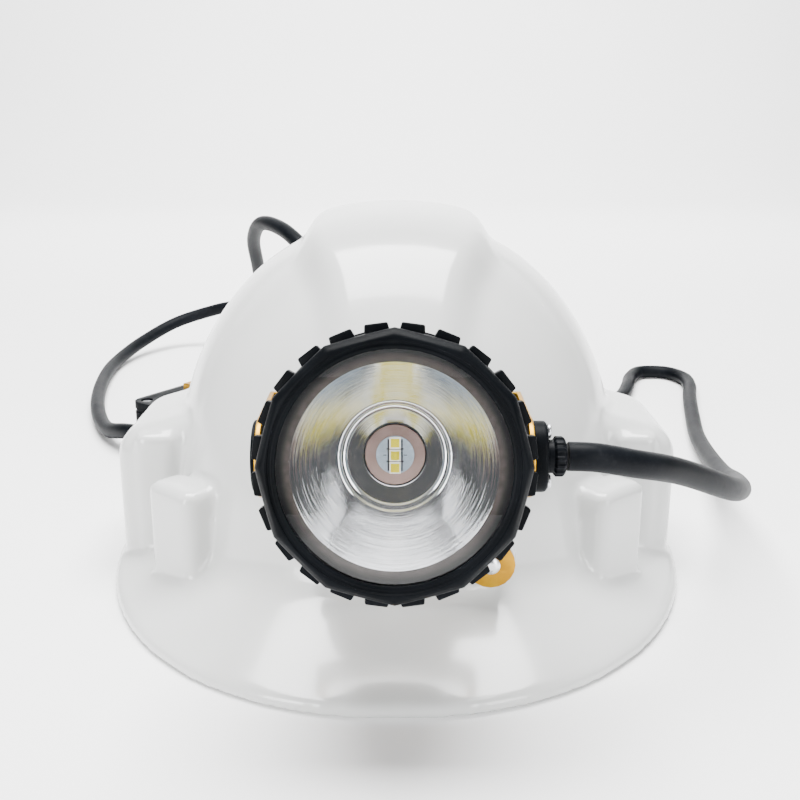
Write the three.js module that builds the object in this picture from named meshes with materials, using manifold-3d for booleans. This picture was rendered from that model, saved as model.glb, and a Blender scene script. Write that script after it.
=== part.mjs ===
// A corded miner's cap lamp on its safety helmet, with the battery pack that feeds it.
// Millimetres, +Z up. The lamp looks along -Y and +X is on the right of someone who faces it.
// The helmet's rim lies in the plane z = 0. The group's origin ends up under the middle of the
// bounding box, cable left out.

import * as THREE from "three";
import { mergeVertices } from "three/addons/utils/BufferGeometryUtils.js";
import Module from "manifold-3d";

const wasm = await Module();
wasm.setup();

// ---------------------------------------------------------------- driving dimensions

const GAP = 0.3; // clearance between pieces that touch

// helmet shell
const DOME = { width: 190, length: 226, height: 131, centreY: 8, plan: 2.15, rise: 2.3 };
const WALL = 2.6;
const BRIM = { width: DOME.width + 36, front: 133, back: 147, centreY: -15, plan: 2.1 };
const JUNCTION = { front: 21, side: 12, back: 9 }; // height at which dome and brim meet
const RIM_WIDTH = 3.2;
const RIM_HEIGHT = 4.2;
const CREST_RISE = 9;
const SLOT_BOX = {
  outer: DOME.width / 2 + 14,
  front: -45,
  back: 15,
  top: 67,
  corner: 14,
  slot: 3.4,
  slotLength: 34,
};
const FRONT_BOX = { x: DOME.width / 2 - 18, y: -69, width: 25, depth: 16, top: 46, turn: 42, corner: 4 };
const PAD = { halfWidth: 29, low: 27, high: 88, y: -108, lobeX: 31, lobeZ: 33, lobeR: 9 };

// suspension
const HEADBAND = { width: DOME.width - 36, length: 186, thickness: 1.6, low: 8, height: 30 };
const SWEATBAND = 3;
const CRADLE = { top: 98, width: 18, thickness: 1.4 };
const KNOB = { radius: 13, depth: 7.5, z: 17, grips: 18 };

// headpiece; distances along its axis are measured forwards from the tilt axis
const PIVOT = { y: -138.6, z: 80.4 };
const REST_TILT = 12; // degrees above the horizontal
const BODY_R = 36.3;
const BODY_BACK = -19;
const BODY_SHOULDER = 13.8;
const BODY_WALL = 2.5;
const NOSE_R = BODY_R - 2.8; // the threaded nose that the bezel screws on
const NOSE_BORE = NOSE_R - 3.6;
const NOSE_FRONT = 20.6;
const BEZEL = {
  front: 27,
  radius: BODY_R + 0.4,
  opening: NOSE_R - 2.5,
  lip: 1.8,
  lugTip: BODY_R + 1.7,
  lugBack: 16.5,
  lugFront: 21.3,
};
const LUGS = 24;
const FACETS = 12;
const LENS_THICKNESS = 2.5;
const FLANGE_R = NOSE_R - 1.9; // the reflector's own flange, inside the gasket
const REFLECTOR = { rim: FLANGE_R - 4, depth: 28.2, hole: 8.85, wall: 1.2 };
const SINK = { radius: 19, front: -10 };
const LED = { side: 3.1, pitch: 3.4, height: 0.8, domeR: 1.4, ahead: 5.15 };
const LED_BOARD_R = 5.2;
const LED_BASE_R = 8.2;
const TRUNNION_R = 9.2;
const ARM = { inner: BODY_R + 0.9, thickness: 1.5, radius: 11.7 };
const FLANGE = { thickness: 4, height: 20.4, width: 15.4, screwZ: 7.2 };
const COLLAR = { radius: 5.8, length: 5.1, ribs: 14 };
const BUTTON = { radius: 6, out: 2.3, y: -2 };

// mounting on the helmet
const PLATE = 2;
const YOKE_STEEL = 1.6;
const TONGUE = { halfWidth: 16, low: 46, high: 70 };
const WEB_HALF_HEIGHT = 11.5;
const RIVET = { shank: 1.6, head: 3, headHeight: 1.3, length: 9 };

// cable
const CABLE_D = 8.4;
const CLIP = { x: -12, y: 121, z: 84, width: 14, wall: 3 };

// battery pack; its frame has +X along the pack and the cable end at x = 0
const PACK = {
  x: -31 - BRIM.width / 2,
  y: 108,
  turn: 56,
  length: 105,
  width: 58,
  height: 26,
  corner: 7,
  wall: 2.4,
};
const COVER = 4;
const SEAL = 1;
const CELL = { radius: 9.2, length: 65 };
const PACK_GLAND = { reach: 8, outletY: -22, radius: 6.6, z: 13 };
const BELT_LOOP = { start: 28, length: 64, width: 34, gap: 3.4, thickness: 1.6 };

// ---------------------------------------------------------------- colours and finishes

const finish = (color, roughness, metalness = 0) =>
  new THREE.MeshStandardMaterial({ color, roughness, metalness });
const whiteShell = finish(0xeceeec, 0.25);
const paleWebbing = finish(0xd8d8d2, 0.8);
const blackPlastic = finish(0x15181b, 0.5);
const blackRubber = finish(0x101214, 0.7);
const chromate = finish(0xb8860b, 0.35, 0.8);
const steel = finish(0xb8bcc0, 0.3, 1);
const aluminium = finish(0xc4c8cc, 0.35, 1);
const mirrorCoat = finish(0xe6e8ea, 0.06, 1);
const copper = finish(0xb08070, 0.4, 0.8);
const clear = finish(0xf4f8fa, 0.05);
const boardWhite = finish(0xb4bec8, 0.45);
const phosphor = finish(0xf0d23c, 0.5);
const cellWrap = finish(0x2f6fae, 0.45);
const boardGreen = finish(0x1f6b3a, 0.5);

// ---------------------------------------------------------------- geometry helpers

const rad = THREE.MathUtils.degToRad;

function solid(geometry) {
  const bare = geometry.clone();
  bare.deleteAttribute("normal");
  bare.deleteAttribute("uv");
  const merged = mergeVertices(bare, 1e-4);
  return new wasm.Manifold(
    new wasm.Mesh({
      numProp: 3,
      vertProperties: new Float32Array(merged.attributes.position.array),
      triVerts: new Uint32Array(merged.index.array),
    }),
  );
}

function geometryOf(body) {
  const mesh = body.getMesh();
  const geometry = new THREE.BufferGeometry();
  geometry.setAttribute("position", new THREE.BufferAttribute(new Float32Array(mesh.vertProperties), 3));
  geometry.setIndex(new THREE.BufferAttribute(new Uint32Array(mesh.triVerts), 1));
  return geometry;
}

// A profile of [radius, height] pairs turned about +Z, anticlockwise so that it faces out.
function turned(profile, segments = 24) {
  const points = profile.map(([r, h]) => new THREE.Vector2(r, h));
  return new THREE.LatheGeometry(points, segments).rotateX(Math.PI / 2);
}

// The same about the lamp's axis, with the second number measured forwards, towards -Y.
const turnedForward = (profile, segments = 28) => turned(profile, segments).rotateX(Math.PI / 2);

// And about +X, with the second number measured along +X.
const turnedRight = (profile, segments = 20) => turned(profile, segments).rotateY(Math.PI / 2);

// A disc or pin along +Z from z0 to z1.
const pin = (radius, z0, z1, segments = 20) =>
  turned([[0, z0], [radius, z0], [radius, z1], [0, z1]], segments);

const pinForward = (radius, t0, t1, segments = 20) =>
  pin(radius, t0, t1, segments).rotateX(Math.PI / 2);

const pinRight = (radius, x0, x1, segments = 20) => pin(radius, x0, x1, segments).rotateY(Math.PI / 2);

function box(x0, x1, y0, y1, z0, z1) {
  return new THREE.BoxGeometry(x1 - x0, y1 - y0, z1 - z0).translate(
    (x0 + x1) / 2,
    (y0 + y1) / 2,
    (z0 + z1) / 2,
  );
}

function roundedRectangle(x0, x1, y0, y1, r) {
  const shape = new THREE.Shape();
  shape.moveTo(x0 + r, y0);
  shape.lineTo(x1 - r, y0);
  shape.absarc(x1 - r, y0 + r, r, -Math.PI / 2, 0);
  shape.lineTo(x1, y1 - r);
  shape.absarc(x1 - r, y1 - r, r, 0, Math.PI / 2);
  shape.lineTo(x0 + r, y1);
  shape.absarc(x0 + r, y1 - r, r, Math.PI / 2, Math.PI);
  shape.lineTo(x0, y0 + r);
  shape.absarc(x0 + r, y0 + r, r, Math.PI, 1.5 * Math.PI);
  return shape;
}

// A shape in the XY plane raised from z0 to z1.
function raised(shape, z0, z1, curveSegments = 4) {
  const settings = { depth: z1 - z0, bevelEnabled: false, curveSegments };
  return new THREE.ExtrudeGeometry(shape, settings).translate(0, 0, z0);
}

// A shape drawn in (x, z) and pushed back from y0 to y1.
const pushedBack = (shape, y0, y1, curveSegments = 4) =>
  raised(shape, -y1, -y0, curveSegments).rotateX(Math.PI / 2);

// A shape drawn in (y, z) and pushed right from x0 to x1.
const pushedRight = (shape, x0, x1, curveSegments = 4) =>
  raised(shape, x0, x1, curveSegments).rotateX(Math.PI / 2).rotateZ(Math.PI / 2);

function mesh(name, geometry, material) {
  const made = new THREE.Mesh(geometry, material);
  made.name = name;
  return made;
}

const power = (value, exponent) => Math.sign(value) * Math.abs(value) ** exponent;

// A point of an oval of the given half axes, squarer as the exponent grows.
function oval(angle, halfX, halfY, exponent) {
  return [
    halfX * power(Math.cos(angle), 2 / exponent),
    halfY * power(Math.sin(angle), 2 / exponent),
  ];
}

// ---------------------------------------------------------------- helmet

// A point of the dome, grown by offset, at the given height.
function domePoint(angle, z, offset) {
  const level = Math.max(0, 1 - (Math.max(z, 0) / (DOME.height + offset)) ** DOME.rise);
  const share = level ** (1 / DOME.rise);
  const [x, y] = oval(angle, DOME.width / 2 + offset, DOME.length / 2 + offset, DOME.plan);
  return [x * share, DOME.centreY + y * share, z];
}

function brimPoint(angle, inset, z) {
  const half = Math.sin(angle) < 0 ? BRIM.front : BRIM.back;
  const [x, y] = oval(angle, BRIM.width / 2 - inset, half - inset, BRIM.plan);
  return [x, BRIM.centreY + y, z];
}

function junctionHeight(angle) {
  const s = Math.sin(angle);
  const end = s < 0 ? JUNCTION.front : JUNCTION.back;
  return JUNCTION.side + (end - JUNCTION.side) * s * s;
}

// A skin whose rows are functions of the angle, the first and last of them single points.
function skin(rows, segments) {
  const count = rows.length;
  const points = rows.map((_, j) => new THREE.Vector2(1, j));
  const geometry = new THREE.LatheGeometry(points, segments);
  const position = geometry.attributes.position;
  for (let i = 0; i < position.count; i += 1) {
    const angle = (Math.floor(i / count) / segments) * 2 * Math.PI;
    position.setXYZ(i, ...rows[i % count](angle));
  }
  return geometry;
}

// Rows of the dome between its foot and its top, evenly spread over the arc.
function domeRows(foot, offset, steps) {
  const rows = [];
  const top = DOME.height + offset;
  for (let k = 0; k < steps; k += 1) {
    rows.push((angle) => {
      const low = Math.asin((foot(angle) / top) ** (DOME.rise / 2));
      const climb = low + (Math.PI / 2 - low) * (k / steps);
      return domePoint(angle, top * Math.sin(climb) ** (2 / DOME.rise), offset);
    });
  }
  rows.push(() => [0, DOME.centreY, top]);
  return rows;
}

const DOME_SEGMENTS = 32;
const DOME_STEPS = 7;

// The dome filled solid down to the plane z = low.
function domeBlock(offset, low) {
  const rows = [() => [0, DOME.centreY, low], ...domeRows(() => low, offset, DOME_STEPS)];
  return solid(skin(rows, DOME_SEGMENTS));
}

function bareShell() {
  const inside = domeRows((a) => junctionHeight(a) - WALL, -WALL, DOME_STEPS).reverse();
  const outside = domeRows(junctionHeight, 0, DOME_STEPS);
  const edgeDrop = RIM_HEIGHT - WALL / 2;
  const rows = [
    ...inside,
    (a) => brimPoint(a, RIM_WIDTH, edgeDrop),
    (a) => brimPoint(a, RIM_WIDTH, 0),
    (a) => brimPoint(a, 0, 0),
    (a) => brimPoint(a, 0, RIM_HEIGHT),
    ...outside,
  ];
  return solid(skin(rows, DOME_SEGMENTS));
}

// The raised crest: a band along the crown that narrows in front to run down behind the lamp.
function crest() {
  const half = [
    [25, -112],
    [26, -82],
    [38, -52],
    [41, -20],
    [39, 30],
    [32, 80],
    [26, 112],
  ];
  const outline = [
    ...half.map(([x, y]) => new THREE.Vector2(x, y)),
    ...half.map(([x, y]) => new THREE.Vector2(-x, y)).reverse(),
  ];
  const band = solid(raised(new THREE.Shape(outline), 34, DOME.height + CREST_RISE + 5));
  return band.intersect(domeBlock(CREST_RISE, 20));
}

// A box at the ear that takes an accessory blade, with a rounded shoulder.
function slotBox(side) {
  const { outer, front, back, top, corner } = SLOT_BOX;
  const shape = new THREE.Shape();
  shape.moveTo(70, 1);
  shape.lineTo(outer, 1);
  shape.lineTo(outer, top - corner - 4);
  shape.absarc(outer - corner, top - corner - 4, corner, 0, Math.PI * 0.4);
  shape.lineTo(80, top);
  shape.lineTo(70, top);
  const body = pushedBack(shape, front, back);
  return solid(side < 0 ? body.rotateZ(Math.PI).translate(0, front + back, 0) : body);
}

function slotCut(side) {
  const middle = (SLOT_BOX.front + SLOT_BOX.back) / 2;
  const reach = SLOT_BOX.slotLength / 2;
  const x = side * (SLOT_BOX.outer - 9);
  const half = SLOT_BOX.slot / 2;
  return solid(box(x - half, x + half, middle - reach, middle + reach, -5, 44));
}

function frontBox(side) {
  const { x, y, width, depth, top, turn, corner } = FRONT_BOX;
  const plan = roundedRectangle(-width / 2, width / 2, -depth / 2, depth / 2, corner);
  return solid(
    raised(plan, 5, top)
      .rotateZ(rad(side * turn))
      .translate(side * x, y, 0),
  );
}

// The flat boss behind the lamp plate, with a round one for the plate's corner lobe.
function lampPad() {
  const { halfWidth, low, high, y, lobeX, lobeZ, lobeR } = PAD;
  const flat = solid(box(-halfWidth, halfWidth, y, y + 34, low, high));
  const neck = solid(box(halfWidth - 6, lobeX, y, y + 30, lobeZ - lobeR, lobeZ + lobeR));
  const round = solid(pinForward(lobeR, -30, 0).translate(lobeX, y, lobeZ));
  return flat.add(neck).add(round);
}

const RIVET_SPOTS = [
  [PAD.lobeX, PAD.lobeZ],
  [-23.5, 41],
  [-23.5, 60],
];

const clipRivetZ = CLIP.z - 15;

// Where the crest's back face stands.
function crestBackAt(x, z) {
  const offset = CREST_RISE;
  const level = 1 - (z / (DOME.height + offset)) ** DOME.rise;
  const share = level ** (DOME.plan / DOME.rise) - (Math.abs(x) / (DOME.width / 2 + offset)) ** DOME.plan;
  return DOME.centreY + (DOME.length / 2 + offset) * share ** (1 / DOME.plan);
}

function helmetShell() {
  const { halfWidth, low, high, y: padY } = PAD;
  let body = crest().subtract(solid(box(-halfWidth, halfWidth, padY - 20, padY, low, high)));
  for (const side of [-1, 1]) body = body.add(slotBox(side)).add(frontBox(side));
  body = body.add(lampPad()).subtract(domeBlock(0.4 - WALL, 0));
  body = body.add(bareShell());
  for (const side of [-1, 1]) body = body.subtract(slotCut(side));
  for (const [x, z] of RIVET_SPOTS) {
    const hole = pinForward(RIVET.shank + GAP, -RIVET.length, 1, 16).translate(x, PAD.y, z);
    body = body.subtract(solid(hole));
  }
  const y = crestBackAt(CLIP.x, clipRivetZ);
  const rivetHole = pinForward(RIVET.shank + GAP, -10, 10, 16).translate(CLIP.x, y, clipRivetZ);
  return body.subtract(solid(rivetHole));
}

function ovalShape(halfX, halfY, from = 0, to = 2 * Math.PI, steps = 48) {
  const points = [];
  for (let i = 0; i <= steps; i += 1) {
    const angle = from + ((to - from) * i) / steps;
    points.push(new THREE.Vector2(...oval(angle, halfX, halfY, 2)));
  }
  return points;
}

function headband() {
  const { width, length, thickness, low, height } = HEADBAND;
  const ring = new THREE.Shape(ovalShape(width / 2, length / 2).slice(0, -1));
  const inner = ovalShape(width / 2 - thickness, length / 2 - thickness).slice(0, -1);
  ring.holes.push(new THREE.Path(inner));
  return raised(ring, low, low + height).translate(0, DOME.centreY, 0);
}

function sweatband() {
  const { width, length, thickness, low, height } = HEADBAND;
  const inset = thickness + GAP;
  const from = rad(195);
  const to = rad(345);
  const outer = ovalShape(width / 2 - inset, length / 2 - inset, from, to, 24);
  const deep = inset + SWEATBAND;
  const inner = ovalShape(width / 2 - deep, length / 2 - deep, from, to, 24).reverse();
  const shape = new THREE.Shape([...outer, ...inner]);
  return raised(shape, low, low + height).translate(0, DOME.centreY, 0);
}

const KEY_ANGLES = [45, 135, 225, 315];
const CRADLE_FOOT = HEADBAND.low + HEADBAND.height + GAP;

// Radius of the headband's outer face in the direction of a hanger key.
function bandRadius(angle) {
  const c = Math.cos(angle) / (HEADBAND.width / 2);
  const s = Math.sin(angle) / (HEADBAND.length / 2);
  return 1 / Math.hypot(c, s);
}

function cradle() {
  const reach = bandRadius(rad(45));
  const rise = CRADLE.top - CRADLE_FOOT;
  const arc = (shrink) => ovalShape(reach - shrink, rise - shrink, 0, Math.PI, 18);
  const arch = new THREE.Shape([...arc(0), ...arc(CRADLE.thickness).reverse()]);
  const strap = (turn) =>
    solid(
      pushedBack(arch, -CRADLE.width / 2, CRADLE.width / 2)
        .rotateZ(rad(turn))
        .translate(0, DOME.centreY, CRADLE_FOOT),
    );
  return geometryOf(strap(45).add(strap(-45)));
}

const KEY_HALF_WIDTH = 8;

// How far the band stands out towards a key, over the width that the key's flat face covers.
function bandReach(angle) {
  let reach = 0;
  for (let degrees = 0; degrees < 360; degrees += 0.5) {
    const x = (HEADBAND.width / 2) * Math.cos(rad(degrees));
    const y = (HEADBAND.length / 2) * Math.sin(rad(degrees));
    const out = x * Math.cos(angle) + y * Math.sin(angle);
    const across = y * Math.cos(angle) - x * Math.sin(angle);
    if (out > reach && Math.abs(across) <= KEY_HALF_WIDTH) reach = out;
  }
  return reach;
}

function hangerKey(degrees) {
  const angle = rad(degrees);
  const near = bandReach(angle) + GAP;
  const block = solid(
    box(near, near + 30, -KEY_HALF_WIDTH, KEY_HALF_WIDTH, 24, 46)
      .rotateZ(angle)
      .translate(0, DOME.centreY, 0),
  );
  return geometryOf(block.intersect(domeBlock(-WALL - 4 * GAP, 0)));
}

const napeY = DOME.centreY + HEADBAND.length / 2 + GAP;
const NAPE_DEPTH = 4;

function napeHousing() {
  const plan = roundedRectangle(-20, 20, KNOB.z - 11, KNOB.z + 11, 7);
  return pushedBack(plan, napeY, napeY + NAPE_DEPTH);
}

function ratchetKnob() {
  const points = [];
  const steps = KNOB.grips * 2;
  for (let i = 0; i < steps; i += 1) {
    const angle = (i / steps) * 2 * Math.PI;
    const r = KNOB.radius - 0.5 + 0.5 * Math.cos(KNOB.grips * angle);
    points.push(new THREE.Vector2(r * Math.cos(angle), r * Math.sin(angle)));
  }
  const y = napeY + NAPE_DEPTH + GAP;
  return pushedBack(new THREE.Shape(points), 0, KNOB.depth).translate(0, y, KNOB.z);
}

// The clip that leads the cable over the back of the helmet.
function cordClip() {
  const bore = CABLE_D / 2 + 2 * GAP;
  const outer = bore + CLIP.wall;
  const { x, y, z, width } = CLIP;
  const ring = solid(pinRight(outer, -width / 2, width / 2).translate(x, y, z));
  const hole = solid(pinRight(bore, -width, width).translate(x, y, z));
  const foot = solid(box(x - width / 2, x + width / 2, y - 24, y, z - 21, z + 6));
  const footBack = crestBackAt(x, z - 18) + 3;
  const flat = foot.intersect(solid(box(x - width, x + width, y - 30, footBack, z - 40, z + 20)));
  const y0 = crestBackAt(x, clipRivetZ);
  const rivetHole = solid(pinForward(RIVET.shank + GAP, -10, 10, 16).translate(x, y0, clipRivetZ));
  const wall = domeBlock(CREST_RISE + 2 * GAP, 0);
  return geometryOf(flat.add(ring).subtract(hole).subtract(wall).subtract(rivetHole));
}

// A rivet whose head sits on the plane at distance 0 and whose shank runs backwards.
function rivet() {
  const { shank, head, headHeight, length } = RIVET;
  return turnedForward(
    [
      [0, GAP - length],
      [shank, GAP - length],
      [shank, GAP],
      [head, GAP],
      [head * 0.85, headHeight * 0.65],
      [head * 0.5, headHeight],
      [0, headHeight + 0.2],
    ],
    16,
  );
}

function clipRivet() {
  const y = crestBackAt(CLIP.x, CLIP.z - 18) + 3;
  return rivet().rotateZ(Math.PI).translate(CLIP.x, y, clipRivetZ);
}

const helmet = new THREE.Group();
helmet.add(mesh("helmet_shell", geometryOf(helmetShell()), whiteShell));
helmet.add(mesh("helmet_headband", headband(), paleWebbing));
helmet.add(mesh("helmet_sweatband", sweatband(), paleWebbing));
helmet.add(mesh("helmet_crown_cradle", cradle(), paleWebbing));
KEY_ANGLES.forEach((degrees, i) => {
  helmet.add(mesh(`helmet_hanger_key_${i + 1}`, hangerKey(degrees), paleWebbing));
});
helmet.add(mesh("helmet_nape_housing", napeHousing(), blackPlastic));
helmet.add(mesh("helmet_ratchet_knob", ratchetKnob(), blackPlastic));
helmet.add(mesh("helmet_cord_clip", cordClip(), blackPlastic));
helmet.add(mesh("helmet_clip_rivet", clipRivet(), steel));

// ---------------------------------------------------------------- lamp plate and yoke

const plateBack = PAD.y - GAP;
const plateFront = plateBack - PLATE;
const tongueBack = plateFront - GAP;
const tongueFront = tongueBack - YOKE_STEEL;
const railOuter = TONGUE.halfWidth + GAP + 2;
const railInner = TONGUE.halfWidth - 3;

// The plate riveted to the helmet, with two folded rails that hold the yoke's tongue.
function lampPlate() {
  const sheet = roundedRectangle(-28, 22, PAD.low + 8, TONGUE.high - 2, 5);
  let body = solid(pushedBack(sheet, plateFront, plateBack));
  const { lobeX, lobeZ, lobeR } = PAD;
  body = body.add(solid(pinForward(lobeR - 1, 0, PLATE).translate(lobeX, plateBack, lobeZ)));
  const neck = new THREE.Shape([
    new THREE.Vector2(10, lobeZ + 4),
    new THREE.Vector2(lobeX - 3, lobeZ - lobeR + 1.8),
    new THREE.Vector2(lobeX + 4, lobeZ + lobeR - 2.2),
    new THREE.Vector2(20, TONGUE.low + 6),
  ]);
  body = body.add(solid(pushedBack(neck, plateFront, plateBack)));
  for (const side of [-1, 1]) {
    const across = [side * (TONGUE.halfWidth + GAP), side * railOuter].sort((a, b) => a - b);
    const lip = [side * railInner, side * railOuter].sort((a, b) => a - b);
    const lipBack = tongueFront - GAP;
    const { low, high } = TONGUE;
    body = body.add(solid(box(...across, lipBack - 1.5, plateBack, low, high - 6)));
    body = body.add(solid(box(...lip, lipBack - 1.5, lipBack, low, high - 6)));
  }
  for (const [x, z] of RIVET_SPOTS) {
    const hole = pinForward(RIVET.shank + GAP, -5, 5, 16).translate(x, plateFront, z);
    body = body.subtract(solid(hole));
  }
  return geometryOf(body);
}

// The U-shaped yoke: a web behind the housing, an arm on each side and the tongue below.
function yoke() {
  const armOuter = ARM.inner + ARM.thickness;
  const web = roundedRectangle(
    -armOuter,
    armOuter,
    PIVOT.z - WEB_HALF_HEIGHT,
    PIVOT.z + WEB_HALF_HEIGHT,
    1.5,
  );
  const tongue = roundedRectangle(-TONGUE.halfWidth, TONGUE.halfWidth, TONGUE.low, PIVOT.z, 3);
  let body = solid(pushedBack(web, tongueFront, tongueBack));
  body = body.add(solid(pushedBack(tongue, tongueFront, tongueBack)));
  for (const side of [-1, 1]) {
    const faces = [side * ARM.inner, side * armOuter].sort((a, b) => a - b);
    const bar = box(...faces, PIVOT.y, tongueBack, PIVOT.z - WEB_HALF_HEIGHT, PIVOT.z + WEB_HALF_HEIGHT);
    const end = pinRight(ARM.radius, ...faces, 32).translate(0, PIVOT.y, PIVOT.z);
    const hole = pinRight(TRUNNION_R + GAP, -60, 60, 32).translate(0, PIVOT.y, PIVOT.z);
    body = body.add(solid(bar)).add(solid(end)).subtract(solid(hole));
  }
  return geometryOf(body);
}

const mounting = new THREE.Group();
mounting.add(mesh("lamp_plate", lampPlate(), chromate));
RIVET_SPOTS.forEach(([x, z], i) => {
  mounting.add(mesh(`plate_rivet_${i + 1}`, rivet().translate(x, plateFront, z), steel));
});
mounting.add(mesh("yoke", yoke(), chromate));

// ---------------------------------------------------------------- headpiece

const trunnionEnd = ARM.inner + ARM.thickness;
const innerBack = BODY_BACK + BODY_WALL;

function lampHousing() {
  const inner = BODY_R - BODY_WALL;
  const profile = [
    [0, BODY_BACK],
    [BODY_R - 16.3, BODY_BACK],
    [BODY_R - 8.3, BODY_BACK + 3.5],
    [BODY_R - 2.5, BODY_BACK + 9],
    [BODY_R, BODY_BACK + 16],
    [BODY_R, BODY_SHOULDER],
    [NOSE_R, BODY_SHOULDER + 0.3],
    [NOSE_R, NOSE_FRONT],
    [NOSE_BORE, NOSE_FRONT],
    [NOSE_BORE, BODY_SHOULDER - 1],
    [inner, BODY_SHOULDER - 4],
    [inner, BODY_BACK + 16],
    [BODY_R - 4.8, BODY_BACK + 10.6],
    [BODY_R - 9.9, BODY_BACK + 5.8],
    [BODY_R - 16.9, innerBack],
    [0, innerBack],
  ];
  let body = solid(turnedForward(profile, 28));
  for (const side of [-1, 1]) {
    const faces = [side * (BODY_R - 2), side * trunnionEnd].sort((a, b) => a - b);
    body = body.add(solid(pinRight(TRUNNION_R, ...faces, 32)));
  }
  const cableBore = pinRight(CABLE_D / 2 + GAP, 20, 60, 20);
  const screwBore = pinRight(2 + GAP, -60, -20, 16);
  const buttonBore = pin(BUTTON.radius + GAP, -50, -20).translate(0, BUTTON.y, 0);
  body = body.subtract(solid(cableBore)).subtract(solid(screwBore)).subtract(solid(buttonBore));
  for (const z of [-FLANGE.screwZ, FLANGE.screwZ]) {
    body = body.subtract(solid(pinRight(1.4, trunnionEnd - 4, trunnionEnd + 5, 12).translate(0, 0, z)));
  }
  return geometryOf(body);
}

// The screwed ring that holds the lens: soft facets in front, a castellated grip behind.
function bezelRing() {
  const { front, radius, opening, lip, lugTip, lugBack, lugFront } = BEZEL;
  const bore = NOSE_R + GAP + 0.1;
  const back = BODY_SHOULDER + GAP + 0.1;
  const root = radius - 0.9;
  const profile = [
    [bore, back],
    [root, back],
    [root, lugFront + 0.4],
    [radius, lugFront + 1.2],
    [radius, front - 2],
    [radius - 1.6, front - 0.3],
    [opening + 1.4, front],
    [opening, front - 0.9],
    [opening, front - lip],
    [bore, front - lip],
    [bore, back],
  ];
  const ring = turnedForward(profile, 48);
  const position = ring.attributes.position;
  for (let i = 0; i < position.count; i += 1) {
    const x = position.getX(i);
    const z = position.getZ(i);
    const r = Math.hypot(x, z);
    if (r < radius - 1.7 || -position.getY(i) < lugFront + 0.5) continue;
    const wave = 1 - (0.35 / r) * (1 - Math.cos(FACETS * Math.atan2(z, x)));
    position.setX(i, x * wave);
    position.setZ(i, z * wave);
  }
  let body = solid(ring);
  const rootHalf = (Math.PI / LUGS) * 0.78 * root;
  const tipHalf = rootHalf * 0.86;
  const lug = new THREE.Shape([
    new THREE.Vector2(-rootHalf, root - 1.2),
    new THREE.Vector2(rootHalf, root - 1.2),
    new THREE.Vector2(tipHalf, lugTip),
    new THREE.Vector2(-tipHalf, lugTip),
  ]);
  for (let i = 0; i < LUGS; i += 1) {
    const turn = ((i + 0.5) / LUGS) * 2 * Math.PI;
    body = body.add(solid(pushedBack(lug, -lugFront, -lugBack).rotateY(turn)));
  }
  return geometryOf(body);
}

const lensFront = BEZEL.front - BEZEL.lip - GAP;
const lensBack = lensFront - LENS_THICKNESS;
const lensR = NOSE_R - 0.1;

function gasket() {
  const inner = FLANGE_R + GAP;
  const back = NOSE_FRONT + GAP;
  const front = lensBack - GAP;
  return turnedForward([[inner, back], [lensR, back], [lensR, front], [inner, front], [inner, back]], 40);
}

const rimFront = lensBack - GAP;
const vertex = rimFront - REFLECTOR.depth;
const bowlAt = (r) => vertex + REFLECTOR.depth * (r / REFLECTOR.rim) ** 2;

// A true paraboloid carried by a flat flange. Its focus is 6.75 mm ahead of its vertex, and the
// faces of the chips stand 1.6 mm behind the focus.
function reflector() {
  const { rim, hole, wall } = REFLECTOR;
  const steps = 7;
  const radii = Array.from({ length: steps + 1 }, (_, i) => hole + ((rim - hole) * i) / steps);
  const bowl = radii.map((r) => [r, bowlAt(r)]).reverse();
  const outside = radii.slice(0, -1).map((r) => [r + wall * 0.7, bowlAt(r) - wall]);
  const flangeBack = NOSE_FRONT + GAP;
  const profile = [
    [hole, bowlAt(hole) - wall],
    ...outside,
    [rim + wall * 0.7, flangeBack],
    [FLANGE_R, flangeBack],
    [FLANGE_R, rimFront],
    ...bowl,
    [hole, bowlAt(hole) - wall],
  ];
  return turnedForward(profile, 28);
}

const chipFront = vertex + LED.ahead;
const chipBack = chipFront - LED.height;
const boardFront = chipBack - GAP;
const boardBack = boardFront - 0.8;
const baseFront = boardBack - GAP;
const baseBack = baseFront - 1;

function heatSink() {
  const back = innerBack + GAP;
  const top = baseBack - GAP;
  const { radius, front } = SINK;
  return turnedForward(
    [[0, back], [radius, back], [radius, front], [LED_BASE_R, front + 2], [LED_BASE_R, top], [0, top]],
    28,
  );
}

function chip(index) {
  const half = LED.side / 2;
  const z = (index - 1) * LED.pitch;
  const square = solid(box(-half, half, -chipFront, -chipBack, z - half, z + half));
  if (index !== 1) return geometryOf(square);
  const r = LED.domeR;
  const dome = [[0, 0], [r, 0], [r * 0.87, r * 0.5], [r * 0.5, r * 0.87], [0, r]];
  return geometryOf(square.add(solid(turnedForward(dome, 16).translate(0, -chipFront + 0.1, z))));
}

// The push button under the housing, kept in by a collar on its inner end.
function switchButton() {
  const { radius, out, y } = BUTTON;
  const tip = -BODY_R - out;
  const collarZ = -BODY_R + BODY_WALL + 1.4;
  return turned(
    [
      [0, tip],
      [radius - 1, tip],
      [radius, tip + 1],
      [radius, collarZ],
      [radius + 1.2, collarZ],
      [radius + 1.2, collarZ + 1.5],
      [0, collarZ + 1.5],
    ],
    28,
  ).translate(0, y, 0);
}

const flangeInner = trunnionEnd + GAP;
const flangeOuter = flangeInner + FLANGE.thickness;

function glandFlange() {
  const halfW = FLANGE.width / 2;
  const halfH = FLANGE.height / 2;
  const plate = roundedRectangle(-halfW, halfW, -halfH, halfH, halfW - 0.5);
  let body = solid(pushedRight(plate, flangeInner, flangeOuter));
  for (const z of [-FLANGE.screwZ, FLANGE.screwZ]) {
    body = body.subtract(solid(pinRight(1.4, flangeInner - 1, flangeOuter + 1, 12).translate(0, 0, z)));
  }
  return geometryOf(body);
}

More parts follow.
